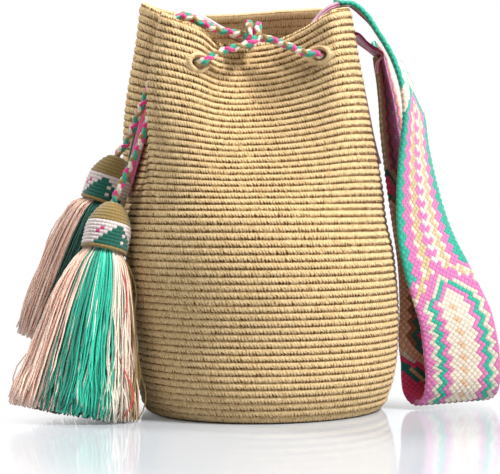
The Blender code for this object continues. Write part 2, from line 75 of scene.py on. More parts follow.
# Outlines of the round part: the share of the height of each, and its radii in mm every 30 degrees, from
# the front towards +X
ROUND_LEVELS = (0.0, 0.012, 0.045, 0.20, 0.40, 0.53)
ROUND_RADII = (
    (85, 85, 87, 89, 87, 84, 82, 82, 82, 82, 84, 86),
    (88, 88, 91, 94, 91, 88, 86, 86, 86, 85, 86, 88),
    (91, 92, 96, 98, 95, 92, 91, 90, 90, 88, 90, 92),
    (93, 96, 102, 105, 102, 98, 96, 95, 94, 92, 95, 96),
    (95, 95, 99, 102, 102, 99, 98, 100, 102, 99, 100, 99),
    (89, 88, 91, 97, 98, 98, 99, 106, 118, 98, 94, 93),
)
# The mouth's edge in mm, from the front towards +X
MOUTH = (
    (-5, -19, 270), (12, -26, 272), (32, -42, 279), (51, -57, 289), (63, -45, 293), (68, -20, 296),
    (66, 8, 299), (50, 32, 303), (20, 50, 304), (-15, 62, 303), (-50, 68, 303), (-77, 54, 305),
    (-89, 22, 306), (-79, -4, 299), (-57, -13, 288), (-53, -30, 283), (-69, -52, 288),
    (-62, -61, 285), (-42, -54, 278), (-31, -33, 271), (-20, -24, 269),
)
# Swells and hollows of the wall: place round, spread, height, spread in height, push outwards in mm
SWELLS = (
    (0.685, 0.042, 0.77, 0.17, 7.5),
    (0.835, 0.032, 0.84, 0.12, 6.6),
    (0.80, 0.035, 0.60, 0.06, -3.0),
    (0.25, 0.06, 0.49, 0.05, -2.5),
)


def hermite(a, b, slope_a, slope_b, u):
    """Cubic blend from a (u is 0) to b (u is 1) whose slopes at the ends are given."""
    return ((2 * u**3 - 3 * u**2 + 1) * a + (u**3 - 2 * u**2 + u) * slope_a
            + (-2 * u**3 + 3 * u**2) * b + (u**3 - u**2) * slope_b)


def unit(vectors):
    """The same directions with length one."""
    return vectors / np.linalg.norm(vectors, axis=-1, keepdims=True)


def around(first, second, angle, wide=1.0, tall=1.0):
    """Points of an ellipse about its middle: first at angle 0, where it is wide, and second a quarter on."""
    return first * (np.cos(angle) * wide)[..., None] + second * (np.sin(angle) * tall)[..., None]


def closed_curve(points, places, at):
    """A smooth closed curve through points that lie at places (0 to 1), read at the given places."""
    where = np.concatenate([places - 1, places, places + 1])
    points = np.concatenate([points, points, points])
    k = np.searchsorted(where, at, side="right") - 1
    span = where[k + 1] - where[k]
    before = (points[k + 1] - points[k - 1]) * (span / (where[k + 1] - where[k - 1]))[:, None]
    after = (points[k + 2] - points[k]) * (span / (where[k + 2] - where[k]))[:, None]
    return hermite(points[k], points[k + 1], before, after, ((at - where[k]) / span)[:, None])


def spline(points, at, wanted):
    """A smooth curve through points that lie at rising places, read at the wanted places."""
    k = np.clip(np.searchsorted(at, wanted, side="right") - 1, 0, len(at) - 2)
    span = (at[k + 1] - at[k]).reshape(-1, *[1] * (points.ndim - 1))
    share = np.clip((wanted - at[k]).reshape(span.shape) / span, 0, 1)
    slope = np.gradient(points, at, axis=0)
    return hermite(points[k], points[k + 1], slope[k] * span, slope[k + 1] * span, share)


def smooth_wall(heights, places):
    """The wall's outer face without its stitches, a point for each height share and place round.

    The round part runs through its outlines by height. Above GATHER_FROM each column bends over into a
    nearly straight line to its point on the mouth. Each swell pushes the wall away from the middle and
    fades like a bell curve round the bag and up it."""
    outline = np.array(MOUTH, float) * MM
    steps = np.linalg.norm(np.roll(outline, -1, 0)[:, :2] - outline[:, :2], axis=1)
    at = np.concatenate([[0], np.cumsum(steps)[:-1]]) / steps.sum()
    mouth = closed_curve(outline, at, places)
    angle = math.tau * places - math.pi / 2
    out = np.stack([np.cos(angle), np.sin(angle)], -1)
    rings = [closed_curve(np.array(radii, float)[:, None] * MM, np.arange(12) / 12, places) * out
             for radii in ROUND_RADII]
    low = spline(np.stack(rings), np.array(ROUND_LEVELS), heights)
    rise = np.clip((heights - GATHER_FROM) / (1 - GATHER_FROM), 0, None)
    pull = np.sqrt(rise**2 + GATHER_SOFT**2) - GATHER_SOFT
    pull = (pull / (math.sqrt(1 + GATHER_SOFT**2) - GATHER_SOFT))[:, None]
    xy = low * (1 - pull[..., None]) + mouth[None, :, :2] * pull[..., None]
    for place, spread, height, tall, push in SWELLS:
        away = (places - place + 0.5) % 1.0 - 0.5
        bump = np.exp(-((heights - height) / tall)**2)[:, None] * np.exp(-(away / spread)**2)
        xy = xy + bump[..., None] * out * push * MM
    z = RIM_HEIGHT * (heights - ROW_SPREAD * np.sin(math.pi * heights))[:, None]
    z = z - (RIM_HEIGHT - mouth[None, :, 2]) * pull
    return np.concatenate([xy, z[..., None]], -1)


def off_wall(height, place, lift):
    """The point and outward direction at a place on the wall, lifted off its face."""
    p = smooth_wall(np.array([height - 0.004, height, height + 0.004]),
                    np.array([place - 0.006, place, place + 0.006]) % 1.0)
    out = unit(np.cross(p[1, 2] - p[1, 0], p[2, 1] - p[0, 1]))
    return p[1, 1] + out * lift, out


def wall_sides(out):
    """The two directions along the wall for its outward one: level and up."""
    side = unit(np.cross((0, 0, 1), out))
    return side, np.cross(out, side)


def face_out(points):
    """Outward directions of a surface of level rings that close on themselves."""
    round_way = np.roll(points, -1, 1) - np.roll(points, 1, 1)
    up_way = np.gradient(points, axis=0)
    return unit(np.cross(round_way, up_way))


def grid_object(name, points, material, uv, tints=None, hollow=None, keep=None, ends=(False, False),
                loop=False, knots=False):
    """A mesh whose vertices are closed rings of points, joined by quads that face away from their middle.

    Rings run anticlockwise seen from the last one. uv gives a pair per vertex. tints gives a colour per
    quad, or per vertex with knots set, hollow a number per vertex, keep which quads stay. ends closes
    the first or last ring with a fan, and loop joins the last ring to the first. knots cuts each quad
    across its two odd vertices, so that each even vertex is the peak of a diamond of one colour."""
    rows, count = points.shape[:2]
    i, j = np.meshgrid(np.arange(rows if loop else rows - 1), np.arange(count), indexing="ij")
    k, m = (j + 1) % count, (i + 1) % rows
    quads = np.stack([i * count + j, i * count + k, m * count + k, m * count + j], -1).reshape(-1, 4)
    chosen = np.ones(len(quads), bool) if keep is None else keep.reshape(-1)
    coords = uv.reshape(-1, 2)[quads]
    coords[(j == count - 1).reshape(-1), 1:3, 0] += uv[0, -1, 0] * 2 - uv[0, -2, 0] - uv[0, 0, 0]
    faces, coords = quads[chosen], coords[chosen]
    if knots:
        even = ((i + j) % 2 == 0).reshape(-1)[chosen]
        order = np.where(even[:, None, None], [[0, 1, 3], [2, 3, 1]], [[1, 2, 0], [3, 0, 2]])
        pick = np.arange(len(faces))[:, None, None]
        coords = coords[pick, order].reshape(-1, 3, 2)
        faces = faces[pick, order].reshape(-1, 3)
    sides = faces.shape[1]
    verts = points.reshape(-1, 3)
    fans = []
    for end, ring in zip(ends, (0, rows - 1)):
        if end:
            base = ring * count + np.arange(count)
            fan = np.stack([np.full(count, len(verts)), np.roll(base, -1), base], -1)
            fans.append(fan if ring == 0 else fan[:, ::-1])
            verts = np.vstack([verts, points[ring].mean(0)])
    tris = np.concatenate(fans) if fans else np.zeros((0, 3), int)
    corners = np.concatenate([faces.ravel(), tris.ravel()])
    starts = np.concatenate([np.arange(len(faces)) * sides, len(faces) * sides + np.arange(len(tris)) * 3])
    colours = None
    if tints is not None:
        each = tints.reshape(-1, 3)[faces[:, 0] if knots else chosen]
        colours = np.concatenate([np.repeat(each, sides, 0), np.broadcast_to(each[0], (tris.size, 3))])
    made = mesh_object(name, verts, corners, starts, material, colours)
    full = np.zeros((len(corners), 2), np.float32)
    full[:faces.size] = coords.reshape(-1, 2)
    made.data.uv_layers.new(name="weave").data.foreach_set("uv", full.ravel())
    if hollow is not None:
        full = np.ones(len(verts), np.float32)
        full[:rows * count] = hollow.ravel()
        made.data.attributes.new("hollow", "FLOAT", "POINT").data.foreach_set("value", full)
    return made


def mesh_object(name, verts, corners, starts, material, colours=None):
    """A smooth mesh object on the root body from its vertices, its faces' corners and where each starts.

    colours gives the yarn's colour at each corner."""
    mesh = bpy.data.meshes.new(name)
    mesh.vertices.add(len(verts))
    mesh.vertices.foreach_set("co", verts.astype(np.float32).ravel())
    mesh.loops.add(len(corners))
    mesh.loops.foreach_set("vertex_index", corners.astype(np.int32))
    mesh.polygons.add(len(starts))
    mesh.polygons.foreach_set("loop_start", starts.astype(np.int32))
    mesh.update(calc_edges=True)
    mesh.polygons.foreach_set("use_smooth", np.ones(len(starts), bool))
    mesh.materials.append(material)
    if colours is not None:
        full = np.hstack([colours, np.ones((len(corners), 1))]).astype(np.float32)
        mesh.color_attributes.new("yarn", "FLOAT_COLOR", "CORNER").data.foreach_set("color", full.ravel())
    made = new_object(name, mesh)
    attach(made, "root")
    return made


def dress(made, cad_node):
    """Shows a piece in place of a node of the CAD, whose node it hides."""
    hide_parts(cad_node)
    return made


def weave_map(columns, rows):
    """The map of a grid of rings: its column and its row at each vertex."""
    return np.stack(np.broadcast_arrays(columns[None, :], rows[:, None]), -1)


class Shades:
    """Short ways to add nodes to the node tree of a material or of the world."""

    def __init__(self, tree):
        self.nodes, self.links = tree.nodes, tree.links

    def node(self, kind, *inputs, **named):
        """A node whose inputs, in order or by name, take numbers or links, and with its properties set."""
        made = self.nodes.new(kind)
        for key, value in [*enumerate(inputs), *named.items()]:
            if isinstance(value, bpy.types.NodeSocket):
                self.links.new(value, made.inputs[key])
            elif isinstance(key, int) or key in made.inputs:
                made.inputs[key].default_value = value
            else:
                setattr(made, key, value)
        return made

    def maths(self, operation, *values):
        """The result of a Math node on sockets and numbers."""
        return self.node("ShaderNodeMath", *values, operation=operation).outputs[0]

    def clamp(self, value):
        """A value held between 0 and 1."""
        return self.maths("MINIMUM", self.maths("MAXIMUM", value, 0.0), 1.0)

    def ramp(self, factor, stops):
        """The colour that a factor picks from (place, colour) stops."""
        made = self.node("ShaderNodeValToRGB", factor)
        band = made.color_ramp
        while len(band.elements) < len(stops):
            band.elements.new(0.5)
        for element, (place, colour) in zip(band.elements, stops):
            element.position = place
            element.color = (*colour, 1)
        return made.outputs[0]

    def fuzz(self, scale, detail=2.0):
        """Noise over the piece's own coordinates."""
        place = self.node("ShaderNodeTexCoord").outputs["Object"]
        return self.node("ShaderNodeTexNoise", Vector=place, Scale=scale, Detail=detail).outputs[0]

    def attribute(self, name, output="Fac"):
        """One of the values that the mesh holds by name."""
        return self.node("ShaderNodeAttribute", attribute_name=name).outputs[output]

    def weave(self):
        """The two numbers of the mesh's map."""
        uv = self.node("ShaderNodeUVMap", uv_map="weave").outputs[0]
        return self.node("ShaderNodeSeparateXYZ", uv).outputs[:2]

    def bump(self, shader, height, strength, depth):
        """Bump from a height onto a shader."""
        made = self.node("ShaderNodeBump", Strength=strength, Distance=depth, Height=height)
        self.links.new(made.outputs[0], shader.inputs["Normal"])


def cotton(name, roughness, sheen):
    """A new cotton material, its nodes and its shader, ready for colour and bump."""
    made = bpy.data.materials.new(name)
    made.use_nodes = True
    shader = made.node_tree.nodes["Principled BSDF"]
    for key, value in (("Roughness", roughness), ("Specular IOR Level", 0.25), ("Sheen Weight", sheen),
                       ("Sheen Roughness", 0.5)):
        shader.inputs[key].default_value = value
    return made, Shades(made.node_tree), shader


SCALLOP = 0.16               # half the height of the teeth between stitches, as a share of the row
# The dark line under each row is painted shade of the groove there
LINE = 0.17                  # height over which the dark line fades, as a share of the row
# Colours of the tan yarn, from the painted shade in the grooves (0) to the yarn's own colour (1)
TAN_STOPS = ((0.0, (0.130, 0.055, 0.013)), (0.30, (0.38, 0.215, 0.075)), (0.62, (0.64, 0.420, 0.185)),
             (1.0, (0.81, 0.595, 0.320)))


def wall_material():
    """Tan mercerised cotton, drawn over the map of stitches (u) and rows (v).

    Noise shifts the stitches and rows a little. A dark line of painted shade lies under each row, in the groove
    between it and the row below, and rises in a tooth between the stitches. The stitches lean and have a softer
    strip of painted shade beside them. The same pattern gives the bump its grooves. More noise breaks both up,
    and a hollow value above 1 leaves them out. A hollow value below 1 darkens the colour further, as painted
    shade low on each row. The yarn's plies are a sine over 3u + 1.2v."""
    made, shades, shader = cotton("tan_crochet", 0.85, 0.04)
    maths, fuzz = shades.maths, shades.fuzz
    u, v = shades.weave()
    u = maths("MULTIPLY_ADD", fuzz(300.0, 1.0), 1.6, u)
    row = maths("FRACT", maths("MULTIPLY_ADD", fuzz(240.0, 1.0), 0.16, maths("SUBTRACT", v, 0.08)))
    lean = maths("MULTIPLY_ADD", row, 1.5, maths("SUBTRACT", u, 0.5))
    wave = maths("COSINE", maths("MULTIPLY", lean, math.tau))
    tooth = maths("MULTIPLY_ADD", wave, -SCALLOP, SCALLOP)
    # Painted shade in the groove under each row, dark at the row's foot and rising in a tooth between stitches
    line = shades.clamp(maths("DIVIDE", maths("SUBTRACT", row, tooth), LINE))
    # A softer painted shade beside each leaning stitch, fading up the row
    gap_shade = shades.clamp(maths("MULTIPLY_ADD", wave, -1.7, -0.45))
    gap_shade = maths("MULTIPLY", gap_shade, maths("SUBTRACT", 1.2, row))
    shade_marks = maths("MULTIPLY", line, maths("MULTIPLY_ADD", gap_shade, -0.72, 1.0))
    hollow = shades.attribute("hollow")
    broken = maths("MULTIPLY_ADD", fuzz(210.0, 2.0), 3.0, -1.45)
    shade_marks = maths("MAXIMUM", shade_marks, maths("MAXIMUM", maths("SUBTRACT", hollow, 1.0), broken))
    # Where the relief is low (a hollow value under 1) the colour is darker still: painted shade low on each row
    relief_shade = maths("MULTIPLY_ADD", maths("MINIMUM", hollow, 1.0), 0.35, 0.65)
    uneven = maths("MULTIPLY_ADD", fuzz(380.0, 1.5), 1.1, -0.50)
    patches = maths("MULTIPLY_ADD", fuzz(28.0, 3.0), 0.22, -0.11)
    level = maths("ADD", maths("MULTIPLY", shade_marks, relief_shade), maths("ADD", uneven, patches))
    shades.links.new(shades.ramp(level, TAN_STOPS), shader.inputs["Base Color"])
    plies = maths("MULTIPLY_ADD", v, 1.2, maths("MULTIPLY", u, 3.0))
    plies = maths("SINE", maths("MULTIPLY", plies, math.tau))
    # The same painted-shade pattern also shapes the bump
    height = maths("MULTIPLY_ADD", plies, 0.22, maths("MULTIPLY", shade_marks, 2.2))
    shades.bump(shader, maths("ADD", height, fuzz(1400.0)), 0.7, 0.0005)
    return made


RELIEF = 0.0015              # how far a row stands out from the grooves beside it
RIB = 0.0008                 # the same on the inner face, at the backs of the rows
LEAN = 0.35                  # stitches that a column drifts along in each row
ROW_SHARES = (0.0, 0.12, 0.34, 0.62, 0.86)    # where the rings of each row lie in it
EYELET_HEIGHT = 0.918        # as a share of the wall's, and each eyelet's place round it from the front
EYELETS = {"front_right": 0.107, "right": 0.325, "back_right": 0.415, "back": 0.51, "left": 0.60,
           "front_left": 0.902}
EYELET_LENGTH = 0.0132
EYELET_WIDTH = 0.0086
FAR = 9.0                    # the distance from an eyelet, in half sizes, of a point out of its reach
PLAIN = 1.7                  # the distance from an eyelet within which the wall has no marks


def open_eyelets(points):
    """Pushes the wall aside at each eyelet: r becomes (r^3 + 1)^(1/3), r in half sizes of the hole.

    Returns the moved points and, for each of them, its r before the move."""
    nearest = np.full(points.shape[:2], FAR)
    for place in EYELETS.values():
        centre, out = off_wall(EYELET_HEIGHT, place, 0.0)
        side, up = wall_sides(out)
        away = points - centre
        a = away @ side / (EYELET_LENGTH / 2)
        b = away @ up / (EYELET_WIDTH / 2)
        close = (np.abs(away @ out) < 0.012) & (a**2 + b**2 < 16)
        r = np.where(close, np.sqrt(a**2 + b**2) + 1e-6, FAR)
        grow = np.where(close, (r**3 + 1) ** (1 / 3) / r - 1, 0.0)
        points = points + (grow * a)[..., None] * side * EYELET_LENGTH / 2
        points = points + (grow * b)[..., None] * up * EYELET_WIDTH / 2
        nearest = np.minimum(nearest, r)
    return points, nearest


def wall_rings(rows, dip=0.0):
    """The smooth wall at each row number, with its columns drifting by LEAN a row.

    dip moves each point down by a share of a row."""
    rings = [smooth_wall(np.array([h - 0.5 / ROWS, h, h + 0.5 / ROWS]), (s / STITCHES) % 1.0)
             for h, s in zip(rows / ROWS, COLUMNS[None, :] + LEAN * rows[:, None])]
    rings = np.stack(rings)
    below, middle, above = rings[:, 0], rings[:, 1], rings[:, 2]
    shift = -np.broadcast_to(dip, middle.shape[:2])[..., None]
    return middle, middle + np.where(shift > 0, (above - middle) * 2 * shift, (middle - below) * 2 * shift)


def outer_rows(first_row, last_row):
    """The outer face of the rows: points, hollows and the eyelets' r, five rings a row.

    A row swells as sin(pi s^0.85)^0.5 over its share s, and each stitch is a high and a low column. The
    groove under a row dips below each stitch."""
    rows = np.append((np.arange(first_row, last_row)[:, None] + np.array(ROW_SHARES)).ravel(), last_row)
    share = rows % 1
    swell = np.sin(math.pi * share**0.85) ** 0.5
    high = 0.5 + 0.5 * np.cos(math.tau * COLUMNS)
    relief = swell[:, None] * (0.66 + 0.34 * high[None, :])
    dip = np.where(share == 0, SCALLOP, 0.05)[:, None] * (high - 0.5)[None, :]
    dip[(rows <= 0) | (rows >= ROWS)] = 0
    middle, points = wall_rings(rows, dip)
    points, r = open_eyelets(points)
    # The hollow value is the relief, which the wall's material turns into painted shade low on each row, plus 2
    # near an eyelet, where no painted groove shade is drawn
    hollow = relief + ((PLAIN - r) / 0.3).clip(0, 1) * 2
    return points + face_out(middle) * (relief * RELIEF)[..., None], rows, hollow, r


def inner_rows(first_row, last_row, rings_a_row):
    """The inner face of the same rows from the top down, with the backs of the rows as low ribs."""
    rows = np.linspace(last_row, first_row, round((last_row - first_row) * rings_a_row) + 1)
    middle, _ = wall_rings(rows)
    run = np.roll(middle, -1, 1) - np.roll(middle, 1, 1)
    inward = unit(np.stack([-run[..., 1], run[..., 0], np.zeros(run.shape[:2])], -1))
    relief = np.broadcast_to((0.5 - 0.5 * np.cos(math.tau * rows))[:, None], middle.shape[:2])
    points, r = open_eyelets(middle + inward * WALL)
    # A hollow value above 1 makes the painted groove shade on the inner face weaker, most on the ribs
    return points + inward * (relief * RIB)[..., None], rows, 1.25 + 0.35 * relief, r


def rim_rows(outer, inner):
    """The rolled rim from the outer to the inner edge: a half round with a bump on every stitch."""
    angle = np.linspace(0, math.pi, 6)[1:-1, None, None]
    middle, half = (outer + inner) / 2, (outer - inner) / 2
    bump = 1 + 0.35 * np.cos(math.tau * COLUMNS)[:, None]
    rise = np.linalg.norm(half, axis=-1, keepdims=True) * np.array([0, 0, 1.1])
    return middle + (half * np.cos(angle) + rise * np.sin(angle)) * bump


def wall_shell(name, first_row, last_row, inner_from, rings_a_row, rim):
    """A closed shell of the wall between two rows, with its inner face from row inner_from up."""
    outer = outer_rows(first_row, last_row)
    inner = inner_rows(inner_from, last_row, rings_a_row)
    faces = [outer, inner]
    if rim:
        edge = rim_rows(outer[0][-1], inner[0][0])
        faces.insert(1, (edge, np.linspace(last_row + 0.2, last_row + 0.8, len(edge)),
                         np.full(edge.shape[:2], 0.9), np.full(edge.shape[:2], FAR)))
    points, rows, hollow, r = (np.concatenate(kind) for kind in zip(*faces))
    around = r + np.roll(r, -1, 1)
    keep = (around + np.roll(around, -1, 0)) / 4 > 0.5
    uv = weave_map(COLUMNS, rows)
    dress(grid_object(name, points, tan_crochet, uv=uv, hollow=hollow, keep=keep, loop=True),
          "bag_body")


tan_crochet = wall_material()
SPLIT_ROW = 31
wall_shell("bag_lower", 0, SPLIT_ROW, 1, 1, False)
wall_shell("bag_upper", SPLIT_ROW, ROWS, SPLIT_ROW, 2, True)


BASE_ROUNDS = 16
BASE_STITCHES = 80
BASE_GROOVE = 0.0012         # under the base, between its rounds
BASE_RIB = 0.0006            # the same inside


def make_base():
    """The round base, crocheted in rounds from the middle, each a low ring of stitches."""
    edge = smooth_wall(np.array([0.0, 0.02]), np.arange(2 * BASE_STITCHES) / (2 * BASE_STITCHES))[0]
    rows = np.arange(4 * BASE_ROUNDS) / 4
    share = (rows + 0.5) / BASE_ROUNDS
    groove = np.abs(np.sin(math.pi * rows)) ** 0.6
    stitch = 0.7 + 0.3 * np.cos(math.pi * np.arange(2 * BASE_STITCHES))
    under = edge[None] * share[:, None, None]
    under[..., 2] = BASE_GROOVE * (1 - groove[:, None] * stitch[None, :])
    over = under[::-1].copy()
    over[..., 2] = WALL + BASE_RIB * groove[::-1, None] * stitch[None, :]
    uv = weave_map(np.arange(2 * BASE_STITCHES) / 2, np.concatenate([rows, rows[::-1]]))
    dress(grid_object("bag_base", np.concatenate([under, over]), tan_crochet, uv=uv, ends=(True, True),
                      hollow=np.ones(uv.shape[:2])), "bag_body")


make_base()


LIP_WRAPS = 24
LIP = 0.0021                 # half the lip's width on the wall
LIP_OUT = 0.0015             # from the hole's edge to the lip's middle
LIP_OVER = 0.0022            # how far the lip stands out from each face


def make_lips():
    """The oversewn lips of the eyelets: a ring of yarn round each hole, wrapped every 1.6 mm."""
    turn = math.tau * np.arange(72) / 72
    ring = math.tau * np.arange(10) / 10
    uv = weave_map(np.arange(10) / 4, turn * LIP_WRAPS / math.tau)
    for name, place in EYELETS.items():
        centre, out = off_wall(EYELET_HEIGHT, place, -WALL / 2)
        side, up = wall_sides(out)
        line = centre + around(side, up, turn, EYELET_LENGTH / 2 + LIP_OUT, EYELET_WIDTH / 2 + LIP_OUT)
        section = around(around(side, up, turn)[:, None], out, ring, LIP, WALL / 2 + LIP_OVER)
        wrap = 1 + 0.10 * np.cos(LIP_WRAPS * turn)[:, None, None]
        dress(grid_object("eyelet_" + name, line[:, None] + section * wrap, tan_crochet, uv=uv,
                          hollow=np.full(uv.shape[:2], 1.85), loop=True), "bag_body")


make_lips()

# Drawstring. A round braid of four cotton strands, laced through the six eyelets. Its two tails come out
# of the front eyelets, hitch together, cross the left lobe and hang down the side pleat to the tassels.
CORD = 0.0062
CLEAR = 0.0003               # between pieces that touch
RIDGE = 0.0012               # how far the rows of the wall stand out under a cord
LACE_SLACK = 0.0012          # between the cord and the wall
BRAID_PITCH = 0.018
CAP_LENGTH = 0.036
# Top and bottom of each tassel's cap, the middle of the hitch and the points of the tails, in mm
FRONT_CAP = ((-105, -45, 153), (-111.5, -52, 119.5))
REAR_CAP = ((-105, -16.6, 188), (-116, -18.2, 154.5))
KNOT = (-4, -36, 276.5)
FRONT_TAIL = (
    (34, -58, 261.5), (20, -46.5, 268.5), (8, -40, 273.5), KNOT, (-18, -36.5, 278.5),
    (-29, -37, 280.5), (-40, -37.5, 284.5), (-49, -37, 289), (-58, -32.5, 289.5), (-67.5, -30.5, 279),
    (-71, -31, 260), (-76.5, -34, 236), (-82, -37.5, 210), (-90, -41, 188), (-98, -43.5, 171),
)
REAR_TAIL = ((-34, -57, 259), (-26, -53.5, 263), (-16, -50.5, 266.5), (-5, -48, 270))
REAR_TAIL_AFTER = (
    (-29, -29.5, 281.5), (-40, -30, 286.5), (-48.5, -28.5, 290.5), (-57.5, -25, 292.5), (-67.5, -22.5, 282.5),
    (-74.5, -22.5, 263), (-80.5, -22, 241), (-87, -20.5, 224), (-93, -17, 210), (-98.5, -13.5, 198),
)
HOT_PINK = (0.72, 0.055, 0.24)
TEAL = (0.030, 0.33, 0.22)
CREAM = (0.80, 0.71, 0.56)
OLIVE = (0.33, 0.22, 0.075)


def run_along(line):
    """Distance from the start of a path at each of its points."""
    return np.concatenate([[0], np.cumsum(np.linalg.norm(np.diff(line, axis=0), axis=1))])


def smooth_route(points, step):
    """Even points about step apart on a smooth open curve through the given ones."""
    points = np.array(points, float)
    at = np.concatenate([[0], np.cumsum(np.sqrt(np.linalg.norm(np.diff(points, axis=0), axis=1)))])
    curve = spline(points, at, np.linspace(0, at[-1], 60 * len(points)))
    run = run_along(curve)
    wanted = np.linspace(0, run[-1], max(2, round(run[-1] / step) + 1))
    return np.stack([np.interp(wanted, run, column) for column in curve.T], -1)


def path_axes(line):
    """Two directions across a path, carried along it without twisting."""
    along = unit(np.gradient(line, axis=0))
    side = np.zeros_like(along)
    side[0] = unit(np.cross(along[0], (0.31, 0.17, 0.93)))
    for i in range(1, len(line)):
        side[i] = unit(side[i - 1] - along[i] * (side[i - 1] @ along[i]))
    return side, np.cross(along, side)


def laced_route():
    """The drawstring's run through the eyelets, as points on the wall lifted off its face."""
    outside = RIDGE + CORD / 2 + LACE_SLACK
    inside = -WALL - CORD / 2 - LACE_SLACK
    hop = 0.0095
    e = EYELETS
    stops = (
        (e["front_left"], -0.0032), (e["front_left"] - 0.001, -0.0078),
        (e["front_left"] - 0.016, inside - 0.0050), (0.775, inside - 0.0060), (0.73, inside - 0.0100),
        (0.69, inside - 0.0040), (0.65, inside - 0.0006),
        (e["left"] + hop, inside - 0.0005), (e["left"] - hop, outside + 0.0003), (0.555, outside),
        (e["back"] + hop, outside), (e["back"] - hop, inside), (0.46, inside),
        (e["back_right"] + hop, inside), (e["back_right"] - hop, outside), (0.37, outside),
        (e["right"] + hop, outside), (e["right"] - hop, inside), (0.27, inside - 0.0010),
        (0.23, inside), (0.19, inside - 0.0020), (0.155, inside - 0.0040),
        (e["front_right"] + 0.016, inside - 0.0040), (e["front_right"] + 0.001, -0.0076),
        (e["front_right"], -0.0032),
    )
    return [off_wall(EYELET_HEIGHT, place, lift)[0] for place, lift in stops]


def tail_start(eyelet):
    """The first points of a tail, in mm: inside its eyelet, then just outside."""
    return [tuple(off_wall(EYELET_HEIGHT, EYELETS[eyelet], lift)[0] / MM) for lift in (-0.0045, 0.0056)]


def tail_end(cap):
    """The last points of a tail, in mm: over the hole of its cap, then through it."""
    top, bottom = np.array(cap, float)
    return [tuple(bottom + unit(top - bottom) * reach / MM)
            for reach in (CAP_LENGTH + 0.004, CAP_LENGTH - 0.009)]


def hitch(centre, direction):
    """A turn and a half of cord round another that passes centre along direction, as points in mm."""
    along = unit(np.array(direction, float))
    up = unit(np.array([0, 0, 1]) - along * along[2])
    behind = np.cross(along, up)
    reach = (CORD + CLEAR + LACE_SLACK) / MM
    step = 1.06 * CORD / MM / 8
    return [tuple(np.array(centre) + behind * math.cos(a) * reach + up * math.sin(a) * reach * 1.08
                  + along * (i - 5) * step) for i, a in enumerate(math.pi * (1 - np.arange(13) / 4))]


def yarn_material(name, roughness=0.75, threads=5.0, hollows=False):
    """Cotton coloured by the mesh's own yarn colours, with fine threads drawn across the map's u.

    Noise varies the colour's tone a little. With hollows set, the colour also darkens where the mesh's hollow
    value is low, as painted shade between knots and stitches."""
    made, shades, shader = cotton(name, roughness, 0.3)
    maths, fuzz = shades.maths, shades.fuzz
    shade = maths("MULTIPLY_ADD", fuzz(700.0), 0.7, 0.65)
    if hollows:
        # Painted shade where the hollow value is low
        shade = maths("MULTIPLY", shade, shades.attribute("hollow"))
    yarn = shades.attribute("yarn", "Color")
    mixed = shades.node("ShaderNodeVectorMath", yarn, operation="SCALE", Scale=shade)
    shades.links.new(mixed.outputs[0], shader.inputs["Base Color"])
    lines = maths("SINE", maths("MULTIPLY", shades.weave()[0], math.tau * threads))
    shades.bump(shader, maths("MULTIPLY_ADD", lines, 0.3, fuzz(1600.0)), 0.6, 0.0004)
    return made


def make_braid(name, cad_node, route, start_turn=0.0):
    """A round braid of four strands along a route: (object, its centreline).

    Two strands wind each way, at angles k pi + t and k pi + pi/2 - t with t = 2 pi s / BRAID_PITCH, and
    pass over and under as sin(2t). The surface is the highest strand at each point: a base radius plus
    the weave plus the strand's own round back, the cosine of the angle from its middle."""
    base, weave, back = 0.00135, 0.00040, 0.00135
    line = smooth_route(route, 0.00075)
    side, up = path_axes(line)
    run = run_along(line)
    t = math.tau * run / BRAID_PITCH + start_turn
    angle = math.tau * np.arange(20) / 20
    heights, across = [], []
    for k, way in ((0, 1), (1, 1), (0, -1), (1, -1)):
        middle = k * math.pi + (0 if way == 1 else math.pi / 2) + way * t
        away = (angle[None, :] - middle[:, None] + math.pi) % math.tau - math.pi
        round_back = np.cos(np.clip(away * 1.25, -math.pi / 2, math.pi / 2))
        heights.append(base + way * weave * np.sin(2 * t)[:, None] + back * round_back)
        across.append(away)
    heights, across = np.stack(heights), np.stack(across)
    top = heights.argmax(0)
    radius = np.take_along_axis(heights, top[None], 0)[0]
    place = np.take_along_axis(across, top[None], 0)[0]
    points = line[:, None] + around(side[:, None], up[:, None], angle, radius, radius)
    tints = np.array([HOT_PINK, OLIVE, TEAL, CREAM])[top[:-1]]
    uv = np.stack([place, np.broadcast_to(run[:, None], place.shape)], -1)
    made = grid_object(name, points, braid_yarn, uv=uv, tints=tints, ends=(True, True))
    return dress(made, cad_node), line


braid_yarn = yarn_material("braid_yarn", threads=1.2)
make_braid("drawstring_laced", "drawstring", laced_route())
front_route = np.array([*tail_start("front_right"), *FRONT_TAIL, *tail_end(FRONT_CAP)]) * MM
rear_route = np.array([*tail_start("front_left"), *REAR_TAIL, *hitch(KNOT, (-26, 1.7, 5)),
                       *REAR_TAIL_AFTER, *tail_end(REAR_CAP)]) * MM
front_tail, front_line = make_braid("drawstring_front_tail", "tail_front", front_route, 0.6)
rear_tail, rear_line = make_braid("drawstring_rear_tail", "tail_rear", rear_route, 2.0)

